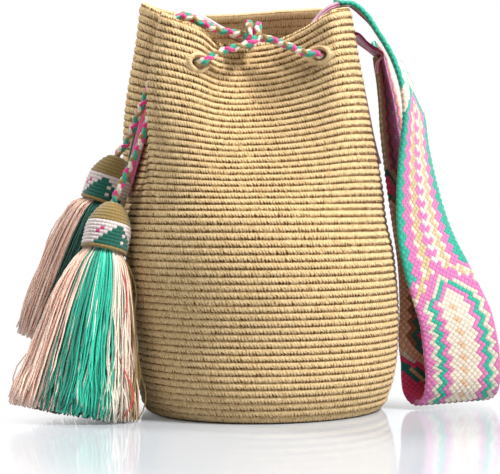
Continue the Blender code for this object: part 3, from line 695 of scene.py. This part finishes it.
# Tassels. Each has a crocheted cap over the knotted end of its tail, with a band of coloured stitches,
# and a long skirt of loose threads that is bound inside the cap.
CAP_RADIUS = 0.0162
CAP_WALL = 0.0024
CAP_HOLE = CORD / 2 + 2 * CLEAR
CAP_EDGE = 0.0008            # from the hole to the first row's top
CAP_STITCH = 0.0010          # how far the stitches of the cap stand out
BINDING = 0.0018
BINDING_LOW = 0.0076         # the winding's lower edge above the cap's rim
BINDING_TALL = 0.0062
SKIRT_HEAD = 0.0145
SKIRT_SPREAD = 0.0330        # how much wider than its head the skirt is at its foot
FRONT_FOOT = (-131, -72, 3)
REAR_FOOT = (-161, 8, 48)
PEACH = (1.0, 0.73, 0.59)
SALMON = (1.0, 0.60, 0.46)
MINT = (0.035, 0.62, 0.42)
DARK_TEAL = (0.010, 0.20, 0.14)
IVORY = (0.84, 0.78, 0.65)
RED = (0.66, 0.045, 0.045)
LILAC = (0.80, 0.68, 0.64)
OLIVE_DARK = (0.30, 0.20, 0.060)
LEAF = (0.010, 0.125, 0.085)
WHITE = (0.86, 0.83, 0.80)


def tassel_axes(cap):
    """A tassel's cap in metres: bottom point, axis up, side towards +X and the direction behind it."""
    top, bottom = np.array(cap, float) * MM
    axis = unit(top - bottom)
    side = unit(np.cross((0, 1, 0), axis))
    return bottom, axis, side, np.cross(axis, side)


def round_cap(cap, height, angle, radius):
    """Points at heights up a cap's axis, angles from its side and distances from the axis."""
    bottom, axis, side, behind = tassel_axes(cap)
    return bottom + axis * height[..., None] + around(side, behind, angle, radius, radius)


def dome(share):
    """How wide the cap is, from 0 at its top to 1 where its dome ends and its straight side begins."""
    return np.sin(np.minimum(1.0, share / 0.62) * math.pi / 2) ** 0.72


CAP_ROWS = 14
CAP_STITCHES = 36
# Colours of the cap's rows from the top down: plain rows, then a stepped leaf on a pale ground
CAP_PATTERN = (
    "O", "O", "O", "O", "O", "O",
    "LLLLLLLLLLLLLLLLLL", "LLLLLLLLLLLTTLLLLL", "LLLLLLLLLLTTTTLLPL", "LLLLLLLLLTWTTTTLLP",
    "LLLLLLLLTTTTTTTTLL", "LLLLLLLTTTWTTTTTTL", "LLLLLLTTTTTTTTTTTT", "O",
)
CAP_COLOURS = {"O": OLIVE_DARK, "L": LILAC, "T": LEAF, "P": HOT_PINK, "W": LILAC}


def make_cap(name, cap, cad_node, turn):
    """A crocheted cap: rows of round stitches from the cord's hole down, with its inside as one shell.

    turn is how many stitches its leaf is turned round towards the right."""
    per_row = 4
    rows = np.arange(CAP_ROWS * per_row + 1) / per_row
    share = rows / CAP_ROWS
    columns = np.arange(2 * CAP_STITCHES) / 2
    swell = np.abs(np.sin(math.pi * rows)) ** 0.7
    high = 0.55 + 0.45 * np.cos(math.tau * columns[None, :] + rows[:, None] * 2.2)
    radius = CAP_HOLE + CAP_EDGE + (CAP_RADIUS - CAP_HOLE - CAP_EDGE) * dome(share)
    radius = radius[:, None] + CAP_STITCH * swell[:, None] * high
    inside = np.array([1.0, 0.7, 0.45, 0.25, 0.1, 0.02])
    inner_radius = CAP_HOLE + (CAP_RADIUS - CAP_WALL - CAP_HOLE) * dome(inside)
    inner_height = CAP_LENGTH * (1 - inside) - np.where(inside == 1.0, 0, 0.0016)
    inner = np.ones((len(inside), len(columns)))
    # The hollow value darkens the cap's colour between its rows and stitches as painted shade; its inside is
    # left as it is
    hollow = np.concatenate([0.6 + 0.4 * swell[:, None] * (0.5 + 0.5 * high), inner])
    radius = np.concatenate([radius, inner_radius[:, None] * inner])
    height = np.concatenate([CAP_LENGTH * (1 - share), inner_height])[:, None]
    points = round_cap(cap, height, -math.tau * columns / CAP_STITCHES, radius)
    row_at = np.minimum(np.arange(len(points)) // per_row, CAP_ROWS - 1)
    stitch_at = (np.arange(2 * CAP_STITCHES) + 1) // 2 + turn
    tints = np.array([[CAP_COLOURS[CAP_PATTERN[row][stitch % len(CAP_PATTERN[row])]] for stitch in stitch_at]
                      for row in row_at])
    uv = weave_map(columns, np.concatenate([rows, np.linspace(CAP_ROWS, CAP_ROWS + 5, len(inside))]))
    made = grid_object(name, points, cap_yarn, uv=uv, tints=tints, hollow=hollow, loop=True)
    return dress(made, cad_node)


def make_binding(name, cap, cad_node):
    """The thread wound eight times round the head of the skirt, inside the cap."""
    head = CAP_RADIUS - CAP_WALL - 2 * CLEAR
    turns = np.arange(33) / 4
    outer = head - 0.0006 + 0.0003 * np.abs(np.sin(math.pi * turns))
    radius = np.append(outer, [head - BINDING, head - BINDING])
    height = BINDING_LOW + BINDING_TALL * np.append(turns / 8, [1, 0])
    angle = math.tau * np.arange(48) / 48
    points = round_cap(cap, height[:, None], angle, radius[:, None])
    uv = weave_map(np.arange(48) / 4, np.arange(len(height)) / 4)
    tints = np.broadcast_to(np.array(WHITE), points.shape)
    made = grid_object(name, points, cap_yarn, uv=uv, tints=tints, hollow=np.ones(uv.shape[:2]), loop=True)
    return dress(made, cad_node)


def strands_object(name, lines, radius, sides, colours, material):
    """Many thin closed tubes as one mesh: lines is (strand, point, 3), colours one per strand."""
    many, points = lines.shape[:2]
    along = unit(np.gradient(lines, axis=1))
    across = unit(np.cross(along, np.array([0.36, 0.87, 0.33])))
    up = np.cross(along, across)
    angle = math.tau * np.arange(sides) / sides
    verts = lines[:, :, None] + around(across[:, :, None], up[:, :, None], angle, radius, radius)
    n, i, j = np.meshgrid(np.arange(many), np.arange(points - 1), np.arange(sides), indexing="ij")
    base = n * points * sides
    k = (j + 1) % sides
    quads = np.stack([base + i * sides + j, base + i * sides + k, base + (i + 1) * sides + k,
                      base + (i + 1) * sides + j], -1).reshape(many, -1)
    first = np.arange(many)[:, None] * points * sides
    start_cap = first + np.arange(sides)[None, ::-1]
    end_cap = first + (points - 1) * sides + np.arange(sides)[None, :]
    corners = np.concatenate([quads, start_cap, end_cap], 1)
    count = (points - 1) * sides
    starts = np.concatenate([np.arange(count) * 4, [count * 4, count * 4 + sides]])
    starts = (np.arange(many)[:, None] * corners.shape[1] + starts[None, :]).ravel()
    return mesh_object(name, verts.reshape(-1, 3), corners.ravel(), starts, material,
                       np.repeat(colours, corners.shape[1], 0))


def skirt_radius(share):
    """Radius of the bundle of threads, from its head (0) inside the cap to its cut ends (1)."""
    return SKIRT_HEAD + SKIRT_SPREAD * share**0.62


def skirt_line(cap, foot, hang, share):
    """The middle of the skirt at each share of the way down from under the cap to the foot."""
    bottom, axis, _, _ = tassel_axes(cap)
    bottom = bottom - axis * 0.003
    foot = np.array(foot, float) * MM
    reach = np.linalg.norm(foot - bottom)
    return hermite(bottom, foot, -axis * reach * hang, (foot - bottom) * 0.95, share[..., None])


def wave(at, slow, fast):
    """A sine along each thread with its own pace, between slow and fast, and its own start."""
    return np.sin(at * rng.uniform(slow, fast, (len(at), 1)) + rng.uniform(0, 6, (len(at), 1)))


def make_skirt(name, cap, foot, flat, wide, hang, count, sectors, cad_node):
    """Loose threads from the cap to the foot: each keeps its place in the bundle and wavers a little.

    A thread's place is an angle and a share of the radius, more of them near the outside. sectors lists
    (place, colours): place runs from -1 at the left to 1 at the right of the bundle seen from the front,
    and a thread takes one of the colours of the first sector that reaches its own place."""
    _, axis, side, behind = tassel_axes(cap)
    share = np.linspace(-0.10, 1.0, 15)
    angle = math.tau * ((np.arange(count) * 0.618034) % 1.0)
    depth = rng.random(count) ** 0.38
    reach = 1 - 0.10 * rng.random(count) ** 2
    at = np.clip(share[None, :], 0, None) * reach[:, None] + np.clip(share[None, :], None, 0)
    down = np.clip(at, 0, 1)
    centre = skirt_line(cap, foot, hang, down)
    centre = centre + axis * np.clip(-at, 0, None)[..., None] * 0.12
    radius = skirt_radius(down) * (1 - 0.35 * np.clip(-at * 10, 0, 1)) * depth[:, None]
    waver = rng.normal(0, 1, (count, 1)) * wave(at, 5, 11)
    crimp = wave(at, 30, 60) * 0.012
    turn = angle[:, None] + (waver * 0.07 + crimp) * down
    radius = radius * (1 + 0.05 * waver)
    spread = 1 + (wide - 1) * down
    shallow = 1 + (flat - 1) * np.sqrt(down)
    lines = centre + around(side, behind, turn, radius * spread, radius * shallow)
    lines[..., 2] = np.maximum(lines[..., 2], THREAD + 0.0001)
    place = np.cos(angle) * depth + rng.normal(0, 0.06, count)
    colours = np.zeros((count, 3))
    pick = rng.random(count)
    for limit, choices in reversed(sectors):
        chosen = np.array(choices)[(pick * len(choices)).astype(int)]
        colours = np.where((place < limit)[:, None], chosen, colours)
    colours = colours * rng.uniform(0.86, 1.08, (count, 1))
    dress(strands_object(name, lines, THREAD, 4, colours, skirt_yarn),
          cad_node)


THREAD = 0.00054
rng = np.random.default_rng(11)
cap_yarn = yarn_material("cap_yarn", 0.85, 1.0, hollows=True)
skirt_yarn = yarn_material("skirt_yarn", 0.6, 0.0)
front_cap = make_cap("tassel_front_crochet_cap", FRONT_CAP, "tassel_front_cap", 6)
rear_cap = make_cap("tassel_rear_crochet_cap", REAR_CAP, "tassel_rear_cap", 2)
front_winding = make_binding("tassel_front_winding", FRONT_CAP, "tassel_front_binding")
rear_winding = make_binding("tassel_rear_winding", REAR_CAP, "tassel_rear_binding")
# In the front skirt, the dark teal threads left of the middle stand for teal threads in painted shade
make_skirt("tassel_front_threads", FRONT_CAP, FRONT_FOOT, 0.50, 1.0, 1.05, 1050, (
    (-0.55, (PEACH, PEACH, PEACH, SALMON)), (-0.38, (DARK_TEAL, PEACH)),
    (-0.10, (DARK_TEAL, TEAL, MINT, PEACH)),
    (0.50, (MINT, MINT, MINT, MINT, TEAL, MINT, MINT, MINT, IVORY)), (0.74, (IVORY, IVORY, CREAM, IVORY)),
    (0.84, (PEACH, PEACH, IVORY, RED)), (2.0, (OLIVE, OLIVE, PEACH)),
), "tassel_front_skirt")
make_skirt("tassel_rear_threads", REAR_CAP, REAR_FOOT, 0.42, 0.50, 0.3, 620, (
    (-0.36, (PEACH, PEACH, PEACH, PEACH, SALMON)), (2.0, (LEAF, LEAF, LEAF, DARK_TEAL)),
), "tassel_rear_skirt")

# Strap. A flat band of double knots in many coloured yarns, with zigzags and chevrons. At each end its
# warps run on loose and are sewn to the wall, on the left in the side pleat and on the right under it.
STRAP_WIDTH = 0.070
STRAP_THICK = 0.0050
KNOT_RELIEF = 0.0009         # taken off the band's thickness for its knots
KNOT_RISE = 0.0011           # height of a knot
KNOT_SINK = 0.0008           # depth of the gaps between knots
# Stops along the strap: a point in mm, then the turn and the lift of its width in degrees, and for the warps
# their width and thickness in mm. A point of the band is the middle of its front edge.
MOUTH_WARPS = (
    ((-62, -16.6, 289.4), 15, 12, 8, 4), ((-58.2, -13.5, 295.2), 10, 12, 9, 4.4),
    ((-52.5, -8, 297.5), 8, 6, 12, 4.4), ((-42, -2, 294), 5, 0, 16, 4.2), ((-26, 0, 284), 0, 0, 20, 4.0),
    ((-5, 3, 275), 0, 0, 22, 4.0), ((18, 8, 272), 0, 3, 24, 4.0), ((35, 9, 280), 0, 4, 26, 4.4),
    ((49, 10, 300), 0, 7, 36, 5.0),
)
BAND = (
    ((60, -25, 301.5), 0, 9), ((69, -25, 301), 0, 9), ((79, -25, 294), 4, 6), ((87, -25, 282), 8, 4),
    ((98, -25, 264), 10, 2), ((105, -25, 244), 14, 0), ((108, -25, 222), 18, 0), ((106.5, -25, 200), 22, 0),
    ((104, -25, 175), 29, 0), ((103, -25, 150), 36, 0), ((104, -25, 127), 43, 0),
    ((108.5, -24, 104), 50, 0), ((115, -23, 84), 54, 0), ((120.5, -22, 65), 58, 0),
    ((123.5, -21.5, 44), 60, 0), ((125, -21, 31), 60, 0),
)
BAND_BACK = (
    ((109.5, 5, 33), 60, 0), ((107.8, 5, 48), 59, 0), ((108.6, 5.5, 66), 57, 0), ((108.4, 7, 88), 52, 0),
    ((107, 8, 110), 45, 0), ((103.5, 9, 135), 38, 0), ((100, 9, 160), 31, 0), ((97, 9, 184), 25, 0),
    ((94.5, 8.5, 208), 20, 0), ((93, 8, 232), 17, 0), ((90.5, 7.5, 254), 14, 0), ((86, 7, 274), 12, 0),
)
TURN_RADIUS = 15             # of the fold at the ground, in mm
RIGHT_WARPS = (
    ((78.2, 32, 281.5), 2, 0, 46, 4.6), ((76, 26, 287.5), 4, 0, 28, 4.2),
    ((73.4, 23.5, 289.8), 6, 0, 20, 4.0), ((71.3, 20, 285), 8, 0, 16, 4.0),
)
# Where the warps are sewn on: place round the wall, heights of the stops as shares, and thickness
LEFT_SEAM = (0.742, (0.56, 0.61, 0.67, 0.74, 0.81, 0.875, 0.935, 0.975), 0.0044)
RIGHT_SEAM = (0.285, (0.915, 0.86, 0.80, 0.74, 0.68, 0.63), 0.0040)
SEAM_WIDTH = 0.013
FRAYED_WIDTH = 0.020
WARP_LIFT = RIDGE + 0.0026


def level(turn, lift):
    """The direction of the strap's width for its turn from +Y towards +X and its far edge's lift."""
    turn, lift = math.radians(turn), math.radians(lift)
    return np.array([math.sin(turn) * math.cos(lift), math.cos(turn) * math.cos(lift), math.sin(lift)])


def seam_stop(height, seam, lift):
    """A stop of the warps where they are sewn to the wall."""
    place, heights, thick = seam
    middle, out = off_wall(height, place, lift)
    wide = FRAYED_WIDTH if height == min(heights) else SEAM_WIDTH
    return middle, wall_sides(out)[0], wide, thick


def warp_stop(point, turn, lift, wide, thick):
    """A stop of the loose warps between the seam and the band."""
    return np.array(point) * MM, level(turn, lift), wide * MM, thick * MM


def band_stop(edge, turn, lift):
    """A stop of the band, from the middle of its front edge."""
    across = level(turn, lift)
    return np.array(edge) * MM + across * STRAP_WIDTH / 2, across, STRAP_WIDTH, STRAP_THICK


def swept(first, last, step):
    """The strap's middle line, width and face directions and size, step apart from one stop to another."""
    middle, across, wide, thick = (np.array(values) for values in zip(*stops))
    run = run_along(middle)
    wanted = np.linspace(run[first], run[last], round((run[last] - run[first]) / step) + 1)
    line = spline(middle, run, wanted)
    rest = np.column_stack([across, wide, thick])
    rest = np.stack([np.interp(wanted, run, column) for column in rest.T], -1)
    across, size = rest[:, :3], rest[:, 3:]
    along = unit(np.gradient(line, axis=0))
    across = unit(across - along * (across * along).sum(1, keepdims=True))
    return line, across, np.cross(across, along), size, wanted - run[first]


stops = [seam_stop(height, LEFT_SEAM, WARP_LIFT + (0.0040 if height > 0.9 else 0.0016))
         for height in LEFT_SEAM[1]]
stops += [warp_stop(*stop) for stop in MOUTH_WARPS]
band_first = len(stops)
stops += [band_stop(*stop) for stop in BAND]
last, turn, _ = BAND[-1]
back = np.array([-math.cos(math.radians(turn)), math.sin(math.radians(turn)), 0])
bottom = (STRAP_THICK / 2 + CLEAR + KNOT_RELIEF) / MM
for degrees in range(0, 181, 30):
    a = math.radians(degrees)
    edge = np.array([last[0], last[1], bottom + TURN_RADIUS]) + back * TURN_RADIUS * (1 - math.cos(a))
    edge[2] -= TURN_RADIUS * math.sin(a)
    stops.append(band_stop(edge, turn, 0))
stops += [band_stop(*stop) for stop in BAND_BACK]
band_last = len(stops) - 1
stops += [warp_stop(*stop) for stop in RIGHT_WARPS]
stops += [seam_stop(height, RIGHT_SEAM, WARP_LIFT) for height in RIGHT_SEAM[1]]

KNOTS_ACROSS = 13
KNOT_PITCH = 0.0048          # from a knot to the next one in its column
ORCHID = (0.82, 0.22, 0.50)
TAN = (0.74, 0.55, 0.29)
SHELL = (0.96, 0.80, 0.64)
# The orange and the brown below are the band's peach and tan in painted shade, for its inner face
PEACH_IN_SHADE = (1.0, 0.55, 0.32)
CRIMSON = (1.0, 0.060, 0.190)
TAN_IN_SHADE = (0.36, 0.16, 0.060)
TEAL_BRIGHT = (0.025, 0.48, 0.33)
APRICOT = (0.90, 0.56, 0.34)
ZIGZAG = 2 * KNOT_PITCH      # length of one zigzag of the colours
SPECK = 0.30                 # share of it that has a speck in the band's middle
CHEVRON_LENGTH = 0.024       # of a chevron's slope over half the width
# Sections of each face along the band: where its chevron's tip is (the height, and whether the band goes
# down or up there), and the bands of colour from the middle outwards as (limit, colour), with limits as
# shares of the half width. Limits beyond 1 are layers of the chevron only.
LONG_CHEVRON = ((0.17, ORCHID), (0.24, SHELL), (0.42, TAN), (0.50, SHELL), (0.76, ORCHID), (1.05, TEAL_BRIGHT))
OUTER_SECTIONS = (
    (None, ((0.80, SHELL), (9.0, TEAL_BRIGHT))),
    ((0.246, "down"), LONG_CHEVRON),
    ((0.105, "down"), ((0.36, SHELL), (0.55, ORCHID), (0.72, TEAL_BRIGHT), (0.87, CREAM), (1.08, ORCHID))),
    ((0.130, "up"), LONG_CHEVRON),
)
# The inner face is seen in shade, inside the fold and under the front run: its pattern is the band's own, but
# its crimson, dark teal, leaf, brown and orange stand for the band's pink, teal, tan and peach with painted
# shade
INNER_SECTIONS = (
    (None, ((0.80, CRIMSON), (9.0, HOT_PINK))),
    ((0.006, "up"), ((0.44, CRIMSON), (0.62, DARK_TEAL), (0.72, TAN_IN_SHADE), (1.04, PEACH_IN_SHADE), (1.14, SHELL),
                     (1.34, CRIMSON), (1.50, DARK_TEAL), (1.60, TAN), (1.76, DARK_TEAL))),
    ((0.152, "up"), ((0.40, ORCHID), (0.56, LEAF), (0.74, CRIMSON), (1.06, TAN), (1.18, LEAF),
                     (1.28, HOT_PINK))),
)


def band_colours(sections, tips, run, across):
    """Colour of each knot of one face from its run along the band and its place across it (-1 to 1).

    The bands zigzag with the run. A section starts in a chevron at its tip's run: its reach is the
    distance from the middle plus the run that is missing to its straight part over CHEVRON_LENGTH, and
    the bands before it part at the same slope to let it in."""
    away = np.abs(across)
    colour = np.zeros((*run.shape, 3))
    for n, (_, bands) in enumerate(sections):
        missing = (tips[n] + bands[-1][0] * CHEVRON_LENGTH - run).clip(0) / CHEVRON_LENGTH
        parted = (run - tips[n + 1]).clip(0) / CHEVRON_LENGTH if n + 1 < len(tips) else 0
        zigzag = (np.abs((run / ZIGZAG) % 1.0 * 2 - 1) * 2 - 1) / KNOTS_ACROSS
        reach = away + missing - parted + np.where((missing == 0) & (away > 0.1), zigzag, 0)
        for limit, tone in reversed(bands):
            colour = np.where((reach < limit)[..., None], tone, colour)
        speck = (missing == 0) & (away < 0.05) & ((run / ZIGZAG) % 1.0 < SPECK)
        colour = np.where(speck[..., None], WHITE if bands[0][1] == ORCHID else APRICOT, colour)
    return colour


def make_band():
    """The knotted band: knots in a diagonal lattice on both faces, each a low dome of one colour.

    A second set of knots sits in the gaps of the first. With r the sum of the distances across and along
    from a knot's middle, 1 where it meets the next, its relief is sqrt(1 - r^2)."""
    line, across, face, size, run = swept(band_first, band_last, KNOT_PITCH / 4)
    steps = 4 * KNOTS_ACROSS
    i, j = np.meshgrid(np.arange(len(line)), np.arange(2 * steps + 2), indexing="ij")
    outer = j <= steps
    x, y = j + 1, i
    first = np.abs(x - 4 * np.round(x / 4)) + np.abs(y - 4 * np.round(y / 4))
    second = np.abs(x % 4 - 2) + np.abs(y % 4 - 2)
    relief = np.sqrt(1 - (np.minimum(first, second) / 2) ** 2)
    place = np.where(outer, steps - j, j - steps - 1) / steps - 0.5
    half = 0.5 * np.sqrt(np.clip(1 - ((np.abs(place) - 0.45) / 0.055).clip(0) ** 2, 0.15, 1))
    offset = half * (size[:, 1:] - KNOT_RELIEF) + (relief * KNOT_RISE - KNOT_SINK) * (half > 0.3)
    offset = np.where(outer, -1, 1) * offset
    points = (line[:, None] + across[:, None] * (place * (size[:, :1] + relief * KNOT_RISE))[..., None]
              + face[:, None] * offset[..., None])
    knot_x = np.where(first < second, 4 * np.round(x / 4), x - x % 4 + 2) - 1
    knot_y = np.where(first < second, 4 * np.round(y / 4), y - y % 4 + 2)
    knot_across = np.where(outer, steps - knot_x, knot_x - steps - 1) * 2 / steps - 1
    knot_run = knot_y * run[-1] / (len(line) - 1)
    lowest = np.argmin(line[:, 2])
    ways = {"down": slice(lowest, None, -1), "up": slice(lowest, None)}
    both = []
    for sections in (OUTER_SECTIONS, INNER_SECTIONS):
        tips = [np.interp(tip[0], line[ways[tip[1]], 2], run[ways[tip[1]]]) if tip else -1.0
                for tip, _ in sections]
        both.append(band_colours(sections, tips, knot_run, knot_across.clip(-1, 1)))
    edge = np.abs(knot_across) > 0.9
    shown = np.where(edge, i < lowest, outer)
    colours = np.where(shown[..., None], both[0], both[1])
    # The hollow value darkens each knot's colour towards its edge and the hollows between knots: painted shade
    made = grid_object("strap_band", points, band_yarn, uv=np.stack([j / 4, i / 4], -1), tints=colours,
                       ends=(True, True), hollow=0.50 + 0.50 * relief**1.5, knots=True)
    return dress(made, "strap"), run[-1]


def make_warps(name, first, last, count, colours):
    """Loose warps from the seam to the band: strands side by side in the strap's section, wavering."""
    line, across, _, size, run = swept(first, last, 0.0025)
    soft = np.exp(-(np.arange(-10, 11) / 5.0) ** 2)
    ends = np.pad(np.hstack([line, across, size]), ((10, 10), (0, 0)), mode="reflect", reflect_type="odd")
    even = np.stack([np.convolve(column, soft / soft.sum(), "valid") for column in ends.T], -1)
    line, across, size = even[:, :3], unit(even[:, 3:6]), even[:, 6:]
    face = unit(np.cross(across, np.gradient(line, axis=0)))
    a = (np.arange(count) + 0.5) / count - 0.5
    a = a[rng.permutation(count)]
    b = rng.uniform(-0.5, 0.5, count)
    sway = wave(np.tile(run, (count, 1)), 30, 70) * 0.06
    lines = (line[None] + across[None] * ((a[:, None] + sway) * (size[None, :, 0] - 2 * WARP))[..., None]
             + face[None] * (b[:, None] * (size[None, :, 1] - 2 * WARP))[..., None])
    pick = np.array(colours)[rng.integers(0, len(colours), count)] * rng.uniform(0.85, 1.08, (count, 1))
    return dress(strands_object(name, lines, WARP, 6, pick, skirt_yarn), "strap")


WARP = 0.00075
band_yarn = yarn_material("band_yarn", 0.75, 2.0, hollows=True)
band, band_length = make_band()
PALE_PINK = (0.90, 0.52, 0.66)
in_mouth = len(LEFT_SEAM[1]) - 1
left_warps = make_warps("strap_left_warps", 0, in_mouth, 44, (HOT_PINK, CRIMSON, CRIMSON, ORCHID, DARK_TEAL))
mouth_warps = make_warps("strap_mouth_warps", in_mouth, band_first + 1, 44, (PALE_PINK, WHITE, WHITE, ORCHID))
right_warps = make_warps("strap_right_warps", band_last - 1, len(stops) - 1, 60,
                         (HOT_PINK, PALE_PINK, PALE_PINK, WHITE, PALE_PINK, CRIMSON))


# Floor and light. A glossy white table, white all round, a soft lamp high at the right and weaker ones
# above the front and behind the left.
TABLE_TOP = -0.0004
PLAIN_MIDDLE = (0.03, -0.15, 0)
PLAIN_TO = 0.13              # distance from there at which the table starts to blend into white
WHITE_FROM = 0.24


def stage_material():
    """White table: plain paint near the bag, blending into the white surroundings for the camera."""
    made = bpy.data.materials.new("table")
    made.use_nodes = True
    shades = Shades(made.node_tree)
    shader = shades.nodes["Principled BSDF"]
    shader.inputs["Base Color"].default_value = (0.55, 0.58, 0.62, 1)
    shader.inputs["Roughness"].default_value = 0.08
    shader.inputs["Specular IOR Level"].default_value = 0.32
    white = shades.node("ShaderNodeEmission", Strength=1.0).outputs[0]
    place = shades.node("ShaderNodeTexCoord").outputs["Object"]
    far = shades.node("ShaderNodeVectorMath", place, PLAIN_MIDDLE, operation="DISTANCE").outputs["Value"]
    fade = shades.node("ShaderNodeMapRange", far, PLAIN_TO, WHITE_FROM, interpolation_type="SMOOTHSTEP")
    seen = shades.node("ShaderNodeLightPath").outputs["Is Camera Ray"]
    mix = shades.node("ShaderNodeMixShader", shades.maths("MULTIPLY", fade.outputs[0], seen),
                      shader.outputs[0], white)
    shades.links.new(mix.outputs[0], shades.nodes["Material Output"].inputs["Surface"])
    return made


floor_mesh = bpy.data.meshes.new("table")
floor_mesh.from_pydata([(x, y, TABLE_TOP) for x, y in ((-6, -6), (6, -6), (6, 6), (-6, 6))], [], [(0, 1, 2, 3)])
floor_mesh.materials.append(stage_material())
table = new_object("table", floor_mesh)

world = bpy.data.worlds.new("surroundings")
world.use_nodes = True
bpy.context.scene.world = world
shades = Shades(world.node_tree)
background = shades.nodes["Background"]
background.inputs["Color"].default_value = (1, 1, 1, 1)
ray = shades.node("ShaderNodeLightPath").outputs
seen = shades.maths("ADD", ray["Is Camera Ray"], ray["Is Glossy Ray"])
seen = shades.maths("MINIMUM", shades.maths("ADD", seen, ray["Is Transmission Ray"]), 1.0)
FILL = 0.10                  # strength of the surroundings' light on cloth
shades.links.new(shades.maths("MULTIPLY_ADD", seen, 1.0 - FILL, FILL), background.inputs["Strength"])


def lamp(name, place, target, size, power):
    """A square soft lamp at place, turned to target."""
    made = new_object(name, bpy.data.lights.new(name, "AREA"))
    made.data.size = size
    made.data.energy = power
    made.location = place
    made.rotation_euler = (Vector(target) - Vector(place)).to_track_quat("-Z", "Y").to_euler()


lamp("key", (1.16, -0.66, 1.76), (0, 0, 0.15), 0.5, 68)
lamp("top", (-0.15, -0.75, 1.85), (0, 0, 0.15), 0.8, 13)
lamp("left", (-1.2, 0.5, 1.6), (-0.1, 0, 0.15), 0.5, 24)
